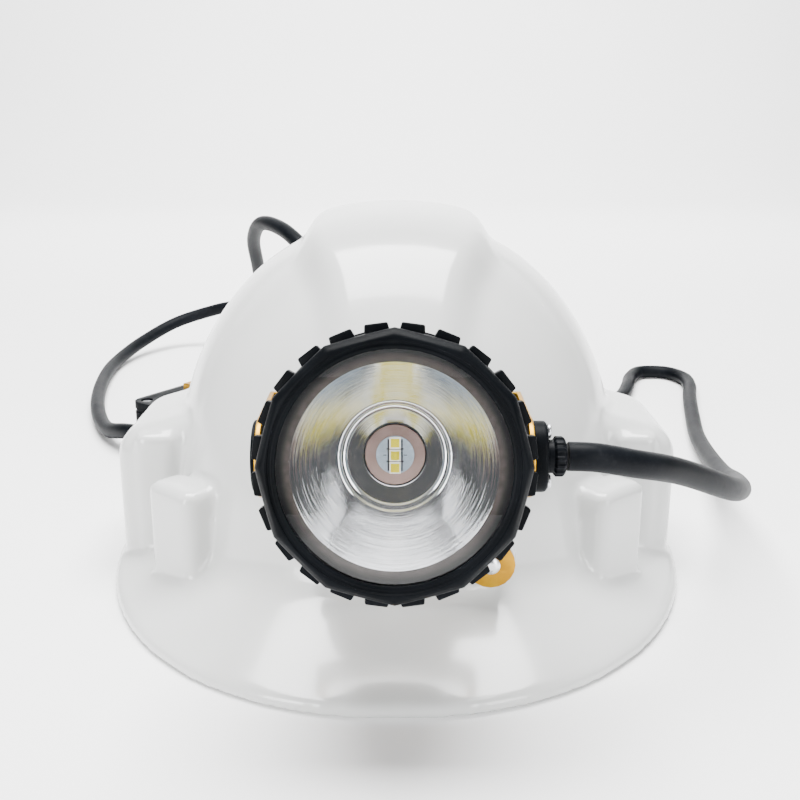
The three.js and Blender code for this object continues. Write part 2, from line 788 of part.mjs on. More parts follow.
function glandScrew(z) {
  return turnedRight(
    [
      [0, trunnionEnd - 3.6],
      [1.1, trunnionEnd - 3.6],
      [1.1, flangeOuter + GAP],
      [2.1, flangeOuter + GAP],
      [2.1, flangeOuter + 1.4],
      [0, flangeOuter + 1.6],
    ],
    12,
  ).translate(0, 0, z);
}

const collarInner = flangeOuter + GAP;
const collarOuter = collarInner + COLLAR.length;

function glandCollar() {
  const steps = COLLAR.ribs * 4;
  const points = [];
  for (let i = 0; i < steps; i += 1) {
    const angle = (i / steps) * 2 * Math.PI;
    const r = COLLAR.radius - (i % 4 < 2 ? 0 : 0.45);
    points.push(new THREE.Vector2(r * Math.cos(angle), r * Math.sin(angle)));
  }
  // The ribs stop short of the gland screws' heads.
  const ribbed = solid(pushedRight(new THREE.Shape(points), collarInner, collarOuter));
  const r = COLLAR.radius;
  const envelope = turnedRight(
    [
      [0, collarInner],
      [4.8, collarInner],
      [4.8, collarInner + 1.6],
      [r, collarInner + 2.2],
      [r, collarOuter - 1],
      [r - 1, collarOuter],
      [0, collarOuter],
    ],
    36,
  );
  return geometryOf(ribbed.intersect(solid(envelope)));
}

// The shouldered screw that the left arm turns on.
function pivotScrew() {
  const face = -(trunnionEnd + GAP);
  return turnedRight(
    [
      [0, face - 1.6],
      [5.4, face - 1.6],
      [6.4, face - 1.2],
      [10.4, face - 0.9],
      [10.4, face],
      [2, face],
      [2, -30],
      [0, -30],
    ],
    24,
  );
}

const headpiece = new THREE.Group();
headpiece.position.set(0, PIVOT.y, PIVOT.z);
headpiece.rotation.x = -rad(REST_TILT);
headpiece.add(mesh("lamp_housing", lampHousing(), blackPlastic));
headpiece.add(mesh("bezel_ring", bezelRing(), blackPlastic));
headpiece.add(mesh("lens", pinForward(lensR, lensBack, lensFront, 40), clear));
headpiece.add(mesh("lens_gasket", gasket(), blackRubber));
headpiece.add(mesh("reflector", reflector(), mirrorCoat));
headpiece.add(mesh("heat_sink", heatSink(), aluminium));
headpiece.add(mesh("led_base_plate", pinForward(LED_BASE_R, baseBack, baseFront), copper));
headpiece.add(mesh("led_board", pinForward(LED_BOARD_R, boardBack, boardFront), boardWhite));
for (const index of [0, 1, 2]) headpiece.add(mesh(`led_${index + 1}`, chip(index), phosphor));
headpiece.add(mesh("switch_button", switchButton(), blackRubber));
headpiece.add(mesh("pivot_screw", pivotScrew(), blackPlastic));
headpiece.add(mesh("gland_flange", glandFlange(), blackPlastic));
headpiece.add(mesh("gland_screw_1", glandScrew(FLANGE.screwZ), steel));
headpiece.add(mesh("gland_screw_2", glandScrew(-FLANGE.screwZ), steel));
headpiece.add(mesh("gland_collar", glandCollar(), blackPlastic));

// ---------------------------------------------------------------- battery pack

const coverBack = PACK.height - COVER;
const sealTop = coverBack - GAP;
const trayTop = sealTop - SEAL - GAP;
const packPlan = (inset) =>
  roundedRectangle(inset, PACK.length - inset, inset - PACK.width, -inset, Math.max(PACK.corner - inset, 2));

const SCREW_INSET = 6.5;
const COVER_SCREWS = [
  [SCREW_INSET, -SCREW_INSET],
  [PACK.length - SCREW_INSET, -SCREW_INSET],
  [PACK.length - SCREW_INSET, SCREW_INSET - PACK.width],
  [SCREW_INSET, SCREW_INSET - PACK.width],
];

function batteryCase() {
  let body = solid(raised(packPlan(0), 0, trayTop));
  body = body.subtract(solid(raised(packPlan(PACK.wall), PACK.wall, trayTop + 5)));
  for (const [x, y] of COVER_SCREWS) {
    const post = solid(pin(3.4, PACK.wall - 0.5, trayTop, 16).translate(x, y, 0));
    const bore = solid(pin(1.8, 8, trayTop + 5, 12).translate(x, y, 0));
    body = body.add(post).subtract(bore);
  }
  const lead = pin(2.4, -3, 8, 12).rotateY(Math.PI / 2).translate(0, PACK_GLAND.outletY - 12, PACK_GLAND.z);
  return geometryOf(body.subtract(solid(lead)));
}

function batterySeal() {
  const outline = packPlan(0.6);
  outline.holes.push(new THREE.Path(packPlan(2).getPoints(4)));
  return raised(outline, trayTop + GAP, sealTop);
}

function batteryCover() {
  let body = solid(raised(packPlan(0), coverBack, PACK.height));
  for (const [x, y] of COVER_SCREWS) {
    const bore = pin(1.8, coverBack - 1, PACK.height + 1, 12).translate(x, y, 0);
    const sink = pin(3.2, PACK.height - 2.2, PACK.height + 1, 16).translate(x, y, 0);
    body = body.subtract(solid(bore)).subtract(solid(sink));
  }
  return geometryOf(body);
}

function coverScrew([x, y]) {
  const head = PACK.height - 2.2 + GAP;
  const outline = [
    [0, 10],
    [1.5, 10],
    [1.5, head],
    [2.8, head],
    [2.8, head + 1.5],
    [0, head + 1.5],
  ];
  return turned(outline, 16).translate(x, y, 0);
}

function cell(index) {
  const y = -PACK.width / 2 + (index - 0.5) * (2 * CELL.radius + GAP);
  const z = PACK.wall + GAP + CELL.radius;
  const start = PACK.length - PACK.wall - GAP - CELL.length;
  return pin(CELL.radius, 0, CELL.length, 24).rotateY(Math.PI / 2).translate(start - 8, y, z);
}

function protectionBoard() {
  const x = PACK.length - PACK.wall - CELL.length - 18;
  return box(x, x + 1.6, 13 - PACK.width, -13, PACK.wall + GAP, trayTop - 1);
}

// The cable's elbow on the end of the pack: a block on the case and a sleeve along the end wall.
function batteryGland() {
  const { reach, outletY, radius, z } = PACK_GLAND;
  const sleeve = pin(radius, outletY - 22, outletY, 20).rotateX(-Math.PI / 2).translate(-reach, 0, z);
  const block = box(-reach, -GAP, outletY - 22, outletY - 4, z - radius, z + radius);
  return geometryOf(solid(sleeve).add(solid(block)));
}

// The steel loop on the cover that a belt passes through.
function beltLoop() {
  const { start, length, width, gap, thickness } = BELT_LOOP;
  const z0 = PACK.height + GAP;
  const y0 = -PACK.width / 2 - width / 2;
  const y1 = y0 + width;
  const end = start + length;
  const top = z0 + gap + thickness;
  let body = solid(box(start, end, y0, y1, top - thickness, top));
  for (const x of [start, end - 6]) body = body.add(solid(box(x, x + 6, y0, y1, z0, top)));
  return geometryOf(body);
}

const pack = new THREE.Group();
pack.position.set(PACK.x, PACK.y, 0);
pack.rotation.z = rad(PACK.turn);
pack.add(mesh("battery_case", batteryCase(), blackPlastic));
pack.add(mesh("battery_seal", batterySeal(), blackRubber));
pack.add(mesh("battery_cover", batteryCover(), blackPlastic));
COVER_SCREWS.forEach((spot, i) => pack.add(mesh(`cover_screw_${i + 1}`, coverScrew(spot), steel)));
pack.add(mesh("battery_cell_1", cell(0), cellWrap));
pack.add(mesh("battery_cell_2", cell(1), cellWrap));
pack.add(mesh("protection_board", protectionBoard(), boardGreen));
pack.add(mesh("battery_gland", batteryGland(), blackRubber));
pack.add(mesh("belt_loop", beltLoop(), chromate));

// ---------------------------------------------------------------- cable

// From the lamp's gland round the right side, through the clip at the back of the helmet, over
// in a free arch, down to the table and round to the battery pack.
const CABLE_ROUTE = [
  [49.2, -138.6, 80.4],
  [57, -138.4, 80],
  [70, -132.5, 76],
  [86, -119, 69],
  [117, -83, 49],
  [141, -18, 27],
  [150, 28, 15],
  [163, 108, 5.2],
  [172, 150, 4.5],
  [182, 192, 4.5],
  [189.5, 220, 4.5],
  [190.5, 238, 4.5],
  [182, 253, 4.5],
  [165, 253.5, 4.5],
  [155.5, 239, 4.5],
  [149, 218, 4.5],
  [139, 192, 4.5],
  [121, 164, 7],
  [94, 145, 20],
  [38, 127, 65],
  [12, 121.5, 81],
  [-5, 121, 84],
  [-19, 121, 84],
  [-33, 124, 89],
  [-48, 137, 101],
  [-64, 160, 111],
  [-80, 188, 112],
  [-90, 220, 99],
  [-93, 255, 77],
  [-97, 292, 54],
  [-112, 330, 38],
  [-140, 352, 29],
  [-170, 348, 20],
  [-190, 322, 11],
  [-199, 285, 5.5],
  [-197, 245, 4.5],
  [-182, 174, 4.5],
  [-161, 121, 6],
  [-143, 97.8, 12],
  [-130.8, 89.4, 13],
];

function cable() {
  const points = CABLE_ROUTE.map((p) => new THREE.Vector3(...p));
  const route = new THREE.CatmullRomCurve3(points, false, "centripetal");
  const section = new THREE.Shape();
  section.absarc(0, 0, CABLE_D / 2, 0, 2 * Math.PI);
  return new THREE.ExtrudeGeometry(section, {
    steps: 66,
    extrudePath: route,
    curveSegments: 4,
    bevelEnabled: false,
  });
}

// ---------------------------------------------------------------- assembly

const assembly = new THREE.Group();
assembly.add(helmet, mounting, headpiece, pack);
assembly.updateMatrixWorld(true);
const bounds = new THREE.Box3().setFromObject(assembly, true);
const middle = bounds.getCenter(new THREE.Vector3());
assembly.add(mesh("cable", cable(), blackRubber));
assembly.position.set(-middle.x, -middle.y, -bounds.min.z);

const capLamp = new THREE.Group();
capLamp.add(assembly);

export default capLamp;
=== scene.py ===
# %% [markdown]
# # Miner's cap lamp on a safety helmet
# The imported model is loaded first. Its nodes stand where the real parts stand, so every piece
# below takes its place from them. Sizes are in millimetres in the helmet's own frame, where X
# points to the wearer's left, the lamp faces -Y and the rim stands at zero height.

import math

import bpy
from mathutils import Matrix, Vector


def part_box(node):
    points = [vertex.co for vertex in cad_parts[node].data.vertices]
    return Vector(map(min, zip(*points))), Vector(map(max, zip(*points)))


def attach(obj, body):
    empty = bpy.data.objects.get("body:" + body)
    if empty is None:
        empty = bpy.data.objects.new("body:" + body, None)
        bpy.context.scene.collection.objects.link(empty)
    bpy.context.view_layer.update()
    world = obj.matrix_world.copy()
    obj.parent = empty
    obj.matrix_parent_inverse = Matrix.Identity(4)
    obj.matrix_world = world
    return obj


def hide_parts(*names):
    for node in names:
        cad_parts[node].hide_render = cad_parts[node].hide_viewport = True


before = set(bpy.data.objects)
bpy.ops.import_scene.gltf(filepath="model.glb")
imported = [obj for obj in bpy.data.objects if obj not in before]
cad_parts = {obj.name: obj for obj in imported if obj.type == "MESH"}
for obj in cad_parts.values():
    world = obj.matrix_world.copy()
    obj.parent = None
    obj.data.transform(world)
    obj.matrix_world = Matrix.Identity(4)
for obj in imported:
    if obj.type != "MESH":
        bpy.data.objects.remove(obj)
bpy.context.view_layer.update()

MM = 0.001
BRIM_FRONT = 148
shell_low, shell_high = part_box("helmet_shell")
ORIGIN = Vector(
    ((shell_low.x + shell_high.x) / 2, shell_low.y + BRIM_FRONT * MM, shell_low.z)
)
HELMET = Matrix.Translation(ORIGIN)
print("helmet frame stands at", [round(value, 5) for value in ORIGIN])


def at(x, y, z):
    """A point given in millimetres in the helmet's frame, in metres in the model's."""
    return ORIGIN + Vector((x, y, z)) * MM


# %% [markdown]
# ## Camera
# A camera is an object with a lens. A 45 mm lens on a 36 mm sensor sees about 44 degrees. It
# stands in front of and above the lamp and looks down by 16 degrees, so its X rotation is 74.

# %% Camera
bpy.ops.object.camera_add(
    location=at(1.4, -408.2, 174.4), rotation=(math.radians(74), 0, 0)
)
camera = bpy.context.object
camera.name = "camera"
camera.data.lens = 45
camera.data.sensor_width = 36
camera.data.clip_start = 0.01
bpy.context.scene.camera = camera
print("camera at", [round(value, 4) for value in camera.location])

# %% [markdown]
# ## Helpers
# Blender's operators act on whatever is selected, so each helper clears the selection first. A
# piece is made near the origin, in its own maker's frame, and `settle` at the end puts its place
# into the mesh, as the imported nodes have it.

# %% Selecting and editing
LAMP_PIVOT = Vector((0, -138.6, 80.4)) * MM
LAMP_TILT = math.radians(-12)
LAMP = HELMET @ Matrix.Translation(LAMP_PIVOT) @ Matrix.Rotation(LAMP_TILT, 4, "X")
PACK_CORNER = Vector((-144, 108, 0)) * MM
PACK = (
    HELMET
    @ Matrix.Translation(PACK_CORNER)
    @ Matrix.Rotation(math.radians(56), 4, "Z")
)


def choose(*pieces):
    """Selects these pieces alone and makes the first of them the active one."""
    bpy.ops.object.select_all(action="DESELECT")
    for piece in pieces:
        piece.select_set(True)
    bpy.context.view_layer.objects.active = pieces[0]


def primitive(kind, name, **settings):
    """Adds a mesh primitive with sizes in metres and gives it a name."""
    bpy.ops.object.select_all(action="DESELECT")
    getattr(bpy.ops.mesh, f"primitive_{kind}_add")(**settings)
    piece = bpy.context.object
    piece.name = name
    bpy.ops.object.transform_apply(location=True, rotation=True, scale=True)
    return piece


def edit(piece):
    """Opens a piece in edit mode with everything selected."""
    choose(piece)
    bpy.ops.object.mode_set(mode="EDIT")
    bpy.ops.mesh.select_all(action="SELECT")


def close_edit():
    bpy.ops.object.mode_set(mode="OBJECT")


def finish_with(piece, kind, **settings):
    """Adds a modifier and applies it."""
    choose(piece)
    modifier = piece.modifiers.new(kind.lower(), kind)
    for key, value in settings.items():
        setattr(modifier, key, value)
    bpy.ops.object.modifier_apply(modifier=modifier.name)
    return piece


def round_edges(piece, width, segments=3, angle=35):
    """Rounds every edge sharper than the angle, to a width in millimetres."""
    return finish_with(
        piece,
        "BEVEL",
        width=width * MM,
        segments=segments,
        limit_method="ANGLE",
        angle_limit=math.radians(angle),
        use_clamp_overlap=True,
    )


def cut(piece, cutter):
    """Takes the cutter's shape out of the piece."""
    finish_with(
        piece, "BOOLEAN", operation="DIFFERENCE", object=cutter, solver="EXACT"
    )
    bpy.data.objects.remove(cutter)
    return piece


def weld(piece, other):
    """Makes one closed body of two that overlap."""
    finish_with(piece, "BOOLEAN", operation="UNION", object=other, solver="EXACT")
    bpy.data.objects.remove(other)
    return piece


def gather(first, *others):
    """Joins pieces into the first of them, as one mesh."""
    choose(first, *others)
    bpy.ops.object.join()
    return first


def settle(piece, place, body, paint, stands_for=(), angle=35):
    """Puts a finished piece in its place, smooth, painted and riding on its body."""
    piece.data.transform(place @ piece.matrix_world)
    piece.matrix_world = Matrix.Identity(4)
    if paint is not None:
        piece.data.materials.clear()
        piece.data.materials.append(paint)
    choose(piece)
    bpy.ops.object.shade_smooth_by_angle(angle=math.radians(angle))
    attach(piece, body)
    if stands_for:
        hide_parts(*stands_for)
    print(piece.name, len(piece.data.polygons), "faces")
    return piece


# %% [markdown]
# A turned part is an outline swept once round an axis. The outline is a circle primitive whose
# points are moved to the corners of the section, and the spin operator sweeps it. Corners that a
# mould or a lathe tool would round get a small arc.


# %% Turned parts
def rounded(outline, steps=4):
    """Replaces each corner that names a rounding, as its third number, with a small arc."""
    points = []
    for i, (x, y, *rounding) in enumerate(outline):
        here = Vector((x, y))
        if not rounding:
            points.append(here)
            continue
        before = Vector(outline[i - 1][:2]) - here
        after = Vector(outline[(i + 1) % len(outline)][:2]) - here
        first = here + before.normalized() * min(rounding[0], before.length * 0.45)
        last = here + after.normalized() * min(rounding[0], after.length * 0.45)
        for k in range(steps + 1):
            share = k / steps
            curve = first * (1 - share) ** 2 + last * share**2
            points.append(curve + here * 2 * share * (1 - share))
    return points


def turned(name, outline, steps=96, axis="forward"):
    """A closed outline of (radius, distance along the axis) swept round that axis."""
    points = rounded(outline)
    piece = primitive("circle", name, vertices=len(points), fill_type="NOTHING")
    for vertex, (radius, along) in zip(piece.data.vertices, points):
        corners = {
            "forward": (radius, -along, 0),
            "up": (radius, 0, along),
            "right": (along, radius, 0),
        }
        vertex.co = Vector(corners[axis]) * MM
    turning = {"forward": (0, 1, 0), "up": (0, 0, 1), "right": (1, 0, 0)}[axis]
    edit(piece)
    bpy.ops.mesh.spin(steps=steps, angle=2 * math.pi, center=(0, 0, 0), axis=turning)
    bpy.ops.mesh.select_all(action="SELECT")
    bpy.ops.mesh.remove_doubles(threshold=1e-6)
    bpy.ops.mesh.delete_loose(use_verts=True, use_edges=True, use_faces=False)
    bpy.ops.mesh.select_all(action="SELECT")
    bpy.ops.mesh.normals_make_consistent(inside=False)
    close_edit()
    return piece


def block(name, low, high):
    """A cuboid between two corners in millimetres."""
    low = Vector(low)
    high = Vector(high)
    piece = primitive("cube", name, size=1)
    size = (high - low) * MM
    middle = (high + low) / 2 * MM
    piece.data.transform(
        Matrix.Translation(middle) @ Matrix.Diagonal((*size, 1)),
    )
    return piece


def copy_of(node, name, rounding=0.3, segments=2):
    """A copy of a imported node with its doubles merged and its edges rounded."""
    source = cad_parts[node]
    piece = bpy.data.objects.new(name, source.data.copy())
    bpy.context.scene.collection.objects.link(piece)
    edit(piece)
    bpy.ops.mesh.customdata_custom_splitnormals_clear()
    bpy.ops.mesh.remove_doubles(threshold=1e-6)
    bpy.ops.mesh.dissolve_limited(angle_limit=math.radians(1))
    close_edit()
    if rounding:
        round_edges(piece, rounding, segments)
    return piece


HERE = Matrix.Identity(4)
print("helpers ready")

# %% [markdown]
# ## Finishes
# A finish is a material built from nodes. Sums on sockets are written as Python expressions: the
# small class `Wire` wraps a socket, and an operator on it adds a Math node.


# %% Wires and finishes
class Wire:
    """An output socket that can take part in sums."""

    def __init__(self, owner, socket):
        self.owner = owner
        self.socket = socket

    def math(self, operation, *others):
        return self.owner.add(
            "ShaderNodeMath", {"operation": operation}, [self, *others]
        )

    def __add__(self, other):
        return self.math("ADD", other)

    __radd__ = __add__

    def __sub__(self, other):
        return self.math("SUBTRACT", other)

    def __rsub__(self, other):
        return self.owner.add(
            "ShaderNodeMath", {"operation": "SUBTRACT"}, [other, self]
        )

    def __mul__(self, other):
        return self.math("MULTIPLY", other)

    __rmul__ = __mul__

    def __truediv__(self, other):
        return self.math("DIVIDE", other)

    def __pow__(self, other):
        return self.math("POWER", other)


class Finish:
    """A material with one Principled shader, whose sockets are set or fed."""

    def __init__(self, name, **constants):
        self.material = bpy.data.materials.new(name)
        self.material.use_nodes = True
        self.tree = self.material.node_tree
        self.shader = next(n for n in self.tree.nodes if n.type == "BSDF_PRINCIPLED")
        for socket, value in constants.items():
            self.shader.inputs[socket.replace("_", " ")].default_value = value

    def add(self, kind, settings=None, inputs=None, output=0):
        """A node of any kind, with its settings first and then its sockets."""
        node = self.tree.nodes.new(kind)
        for key, value in (settings or {}).items():
            if key == "stops":
                self.set_stops(node.color_ramp, value)
            else:
                setattr(node, key, value)
        pairs = (
            inputs.items() if isinstance(inputs, dict) else enumerate(inputs or [])
        )
        for key, value in pairs:
            if isinstance(value, Wire):
                self.tree.links.new(value.socket, node.inputs[key])
            else:
                node.inputs[key].default_value = value
        return Wire(self, node.outputs[output])

    def set_stops(self, ramp, stops):
        while len(ramp.elements) < len(stops):
            ramp.elements.new(0.5)
        for element, (place, colour) in zip(ramp.elements, stops):
            element.position = place
            element.color = (*colour, 1)

    def feed(self, socket, wire):
        self.tree.links.new(wire.socket, self.shader.inputs[socket])

    def place(self):
        return self.add("ShaderNodeTexCoord", output="Object")

    def noise(self, scale, detail=2, roughness=0.5, vector=None):
        """Noise from 0 to 1, with the scale in features to a metre."""
        return self.add(
            "ShaderNodeTexNoise",
            inputs={
                "Vector": vector or self.place(),
                "Scale": scale,
                "Detail": detail,
                "Roughness": roughness,
            },
        )

    def ease(self, value, start, end, low=0.0, high=1.0):
        """A smooth change from low to high while value goes from start to end."""
        return self.add(
            "ShaderNodeMapRange",
            {"interpolation_type": "SMOOTHSTEP"},
            {
                "Value": value,
                "From Min": start,
                "From Max": end,
                "To Min": low,
                "To Max": high,
            },
        )

    def ramp(self, value, *stops):
        return self.add("ShaderNodeValToRGB", {"stops": stops}, {"Fac": value})

    def mix(self, share, first, second):
        """Two colours mixed by a share from 0 to 1."""
        inputs = {"Factor": share, 6: first, 7: second}
        settings = {"data_type": "RGBA"}
        return self.add("ShaderNodeMix", settings, inputs, output=2)

    def bump(self, height, depth, strength=1.0):
        """Feeds the normal with a height whose full range is depth millimetres."""
        wire = self.add(
            "ShaderNodeBump",
            inputs={"Strength": strength, "Distance": depth * MM, "Height": height},
        )
        self.feed("Normal", wire)


# %% [markdown]
# The helmet is glossy white ABS straight from a polished mould. Such a surface still has a faint
# orange peel, a little cloudiness and fine scuffs that show only in the gloss, and those three are
# its bump, its colour and its roughness.


# %% White helmet plastic
def white_plastic():
    paint = Finish("white_abs", Roughness=0.2, IOR=1.5, Coat_Weight=0.3)
    paint.shader.inputs["Coat Roughness"].default_value = 0.08
    clouds = paint.noise(14, 3)
    colour = paint.ramp(
        clouds, (0.3, (0.53, 0.535, 0.525)), (0.7, (0.575, 0.585, 0.58))
    )
    paint.feed("Base Color", colour)
    scuffs = paint.ease(paint.noise(240, 6, 0.7), 0.6, 0.72)
    paint.feed("Roughness", paint.noise(60, 3) * 0.08 + 0.15 + scuffs * 0.1)
    paint.bump(paint.noise(160, 2), 0.03)
    return paint.material


# %% [markdown]
# The lamp's body and bezel are black nylon from a spark-eroded mould, which leaves a grain of
# about a third of a millimetre. Fine noise gives the grain, and a wider one makes the sheen
# patchy, as handling does.


# %% Black lamp plastic
def black_plastic(name="black_plastic", grain=2600):
    paint = Finish(name, IOR=1.5, Specular_IOR_Level=0.03)
    handled = paint.noise(45, 4)
    colour = paint.ramp(
        handled, (0.3, (0.0016, 0.002, 0.0026)), (0.75, (0.0045, 0.0055, 0.007))
    )
    paint.feed("Base Color", colour)
    paint.feed("Roughness", handled * 0.2 + 0.32)
    paint.bump(paint.noise(grain, 3, 0.6), 0.05)
    return paint.material


# %% [markdown]
# Rubber differs from plastic in being duller and in carrying dust. The cable's jacket also has
# faint long lines from the extruder, and a soft mottling where it has been bent.


# %% Black rubber
def black_rubber(name="black_rubber"):
    paint = Finish(name, IOR=1.48, Specular_IOR_Level=0.05)
    dust = paint.ease(paint.noise(420, 6, 0.7), 0.5, 0.8)
    soft = paint.noise(70, 3)
    base = paint.ramp(soft, (0.3, (0.0018, 0.0024, 0.0034)), (0.8, (0.006, 0.007, 0.009)))
    paint.feed("Base Color", paint.mix(dust * 0.16, base, (0.04, 0.042, 0.045, 1)))
    paint.feed("Roughness", soft * 0.16 + 0.36 + dust * 0.12)
    paint.bump(paint.noise(1400, 4, 0.6), 0.045)
    return paint.material


# %% [markdown]
# The bracket is zinc plated steel passivated yellow, the gold of vehicle brackets. The film is
# uneven: it runs from straw to orange brown with a touch of pink, and it is thin at the edges.


# %% Yellow passivated steel
def chromate():
    paint = Finish("chromate", Metallic=0.85)
    film = paint.noise(90, 4, 0.6)
    gold = paint.ramp(
        film,
        (0.2, (0.28, 0.13, 0.004)),
        (0.45, (0.4, 0.2, 0.005)),
        (0.65, (0.47, 0.27, 0.008)),
        (0.85, (0.4, 0.19, 0.03)),
    )
    paint.feed("Base Color", gold)
    paint.feed("Roughness", paint.noise(500, 3) * 0.25 + 0.24)
    paint.bump(paint.noise(900, 3), 0.02)
    return paint.material


# %% [markdown]
# Bare metals differ in colour, in how sharp their reflections are, and in the marks left on them.


# %% Bare metals
def bare_metal(name, dark, light, roughness, grain=700):
    paint = Finish(name, Metallic=1.0)
    wear = paint.noise(160, 5, 0.6)
    paint.feed("Base Color", paint.ramp(wear, (0.25, dark), (0.75, light)))
    paint.feed("Roughness", paint.noise(grain, 3) * 0.2 + roughness)
    paint.bump(paint.noise(grain * 2, 2), 0.012)
    return paint.material


# %% [markdown]
# Things on the lamp's axis have patterns that follow the axis. A Mapping node of the Texture type
# moves a place into the lamp's own frame: across, backwards and up.


# %% Places in the lamp's frame
def in_lamp(paint):
    spot = paint.add(
        "ShaderNodeMapping",
        {"vector_type": "TEXTURE"},
        {
            "Vector": paint.place(),
            "Location": LAMP.to_translation(),
            "Rotation": LAMP.to_euler(),
        },
    )
    return [
        paint.add("ShaderNodeSeparateXYZ", inputs=[spot], output=axis) / MM
        for axis in range(3)
    ]


# %% [markdown]
# The reflector is moulded plastic with vacuum-deposited aluminium. The mould's turning marks stay
# as very fine rings, and they pull each reflection out along the radius into streaks.


# %% Mirror coating and its satin flange
def mirror_coat():
    paint = Finish("mirror_coat", Metallic=1.0)
    across, _, up = in_lamp(paint)
    radius = (across * across + up * up) ** 0.5
    rings = paint.noise(2.2, 4, 0.7, paint.add("ShaderNodeCombineXYZ", inputs=[radius]))
    streaks = paint.noise(240, 4, 0.6)
    paint.feed(
        "Base Color",
        paint.ramp(streaks, (0.3, (0.83, 0.84, 0.86)), (0.7, (0.93, 0.93, 0.94))),
    )
    paint.feed("Roughness", streaks * 0.06 + 0.01)
    paint.bump(rings * 0.6 + streaks * 0.4, 0.035)
    return paint.material


def satin_flange():
    paint = Finish("satin_flange", Metallic=0.35)
    grain = paint.noise(500, 4)
    across, _, up = in_lamp(paint)
    radius = (across * across + up * up) ** 0.5
    warm = paint.ramp(grain, (0.3, (0.07, 0.058, 0.052)), (0.7, (0.11, 0.09, 0.082)))
    # Painted shade: towards its outer edge the flange's colour is mixed to near black, standing in
    # for the shadow that falls there.
    shade = paint.ease(radius, 28.2, 30.6)
    paint.feed("Base Color", paint.mix(shade, warm, (0.01, 0.01, 0.011, 1)))
    paint.feed("Roughness", grain * 0.2 + 0.3)
    paint.bump(grain, 0.02)
    return paint.material


# %% [markdown]
# The light-emitting chips sit in a row up the board, one chip's pitch apart. A chip is a white
# ceramic tile with a yellow phosphor square on it. Taking a height modulo the pitch paints all
# three with one material.


# %% Chips and their board
CHIP_PITCH = 3.4


def chip_finish():
    paint = Finish("phosphor", Roughness=0.45)
    across, _, up = in_lamp(paint)
    steps = (up / CHIP_PITCH + 20.5).math("FRACT")
    along = ((steps - 0.5) * CHIP_PITCH).math("ABSOLUTE")
    edge = along.math("MAXIMUM", across.math("ABSOLUTE"))
    ceramic = paint.ease(edge, 1.14, 1.24)
    crystals = paint.noise(3500, 2)
    yellow = paint.ramp(
        crystals, (0.3, (0.58, 0.49, 0.0)), (0.7, (0.68, 0.58, 0.0))
    )
    colour = paint.mix(ceramic, yellow, (0.86, 0.84, 0.74, 1))
    paint.feed("Base Color", colour)
    # Painted glow: the chips are not switched on, yet their colour is also fed to emission, which
    # paints extra light on them.
    paint.feed("Emission Color", colour)
    paint.shader.inputs["Emission Strength"].default_value = 0.45
    paint.bump(crystals, 0.02)
    return paint.material


def board_finish():
    paint = Finish("board", Roughness=0.42)
    across, _, up = in_lamp(paint)
    wide = across.math("ABSOLUTE")
    high = up.math("ABSOLUTE")
    side_track = paint.ease((wide - 1.85).math("ABSOLUTE"), 0.26, 0.18)
    side_track = side_track * paint.ease(high, 4.4, 4.3)
    cross_track = paint.ease((high - 1.7).math("ABSOLUTE"), 0.2, 0.14)
    cross_track = cross_track * paint.ease(wide, 2.4, 2.3)
    tick = paint.ease(high, 0.12, 0.08) * paint.ease(
        (wide - 2.8).math("ABSOLUTE"), 0.5, 0.42
    )
    tracks = side_track.math("MAXIMUM", cross_track).math("MAXIMUM", tick)
    mask = paint.noise(700, 3)
    pale = paint.ramp(mask, (0.3, (0.36, 0.44, 0.52)), (0.7, (0.46, 0.54, 0.62)))
    paint.feed("Base Color", paint.mix(tracks, pale, (0.012, 0.012, 0.014, 1)))
    paint.bump(mask * 0.3 - tracks, 0.03)
    return paint.material


# %% [markdown]
# The lens is clear polycarbonate. It lets light through and bends it a little, and its face has
# hairline scratches, which show only as a change in how sharp the reflections are.


# %% Clear lens
def clear_lens():
    paint = Finish(
        "clear_lens", Base_Color=(0.985, 0.992, 0.995, 1), IOR=1.5, Transmission_Weight=1
    )
    hairlines = paint.ease(paint.noise(900, 6, 0.8), 0.62, 0.7)
    paint.feed("Roughness", hairlines * 0.05 + 0.004)
    return paint.material


# %% [markdown]
# Inside the helmet the straps are woven polyester and the brow band is covered foam. A weave is
# two crossing waves, and foam is a mass of small round cells.


# %% Straps and foam
def webbing():
    paint = Finish("webbing", Roughness=0.85)
    spot = paint.place()
    x, y, z = [
        paint.add("ShaderNodeSeparateXYZ", inputs=[spot], output=axis)
        for axis in range(3)
    ]
    warp = ((x + y) * 3600).math("SINE")
    weft = ((x - y) * 3600 + z * 2400).math("SINE")
    weave = warp * weft * 0.5 + 0.5
    shade = paint.noise(60, 3) * 0.5 + weave * 0.5
    paint.feed(
        "Base Color",
        paint.ramp(shade, (0.25, (0.47, 0.46, 0.42)), (0.75, (0.66, 0.65, 0.61))),
    )
    paint.bump(weave, 0.12)
    return paint.material


def sweat_foam():
    paint = Finish("sweat_foam", Roughness=0.9)
    cells = paint.add(
        "ShaderNodeTexVoronoi", inputs={"Vector": paint.place(), "Scale": 1100.0}
    )
    shade = paint.noise(50, 3) * 0.6 + cells * 0.4
    paint.feed(
        "Base Color",
        paint.ramp(shade, (0.2, (0.03, 0.031, 0.034)), (0.8, (0.075, 0.078, 0.085))),
    )
    paint.bump(cells, 0.18)
    return paint.material


def moulded(name, dark, light, roughness):
    """A plain moulded plastic of one colour, cloudy and slightly grained."""
    paint = Finish(name)
    clouds = paint.noise(40, 4)
    paint.feed("Base Color", paint.ramp(clouds, (0.3, dark), (0.7, light)))
    paint.feed("Roughness", clouds * 0.15 + roughness)
    paint.bump(paint.noise(1800, 3), 0.03)
    return paint.material


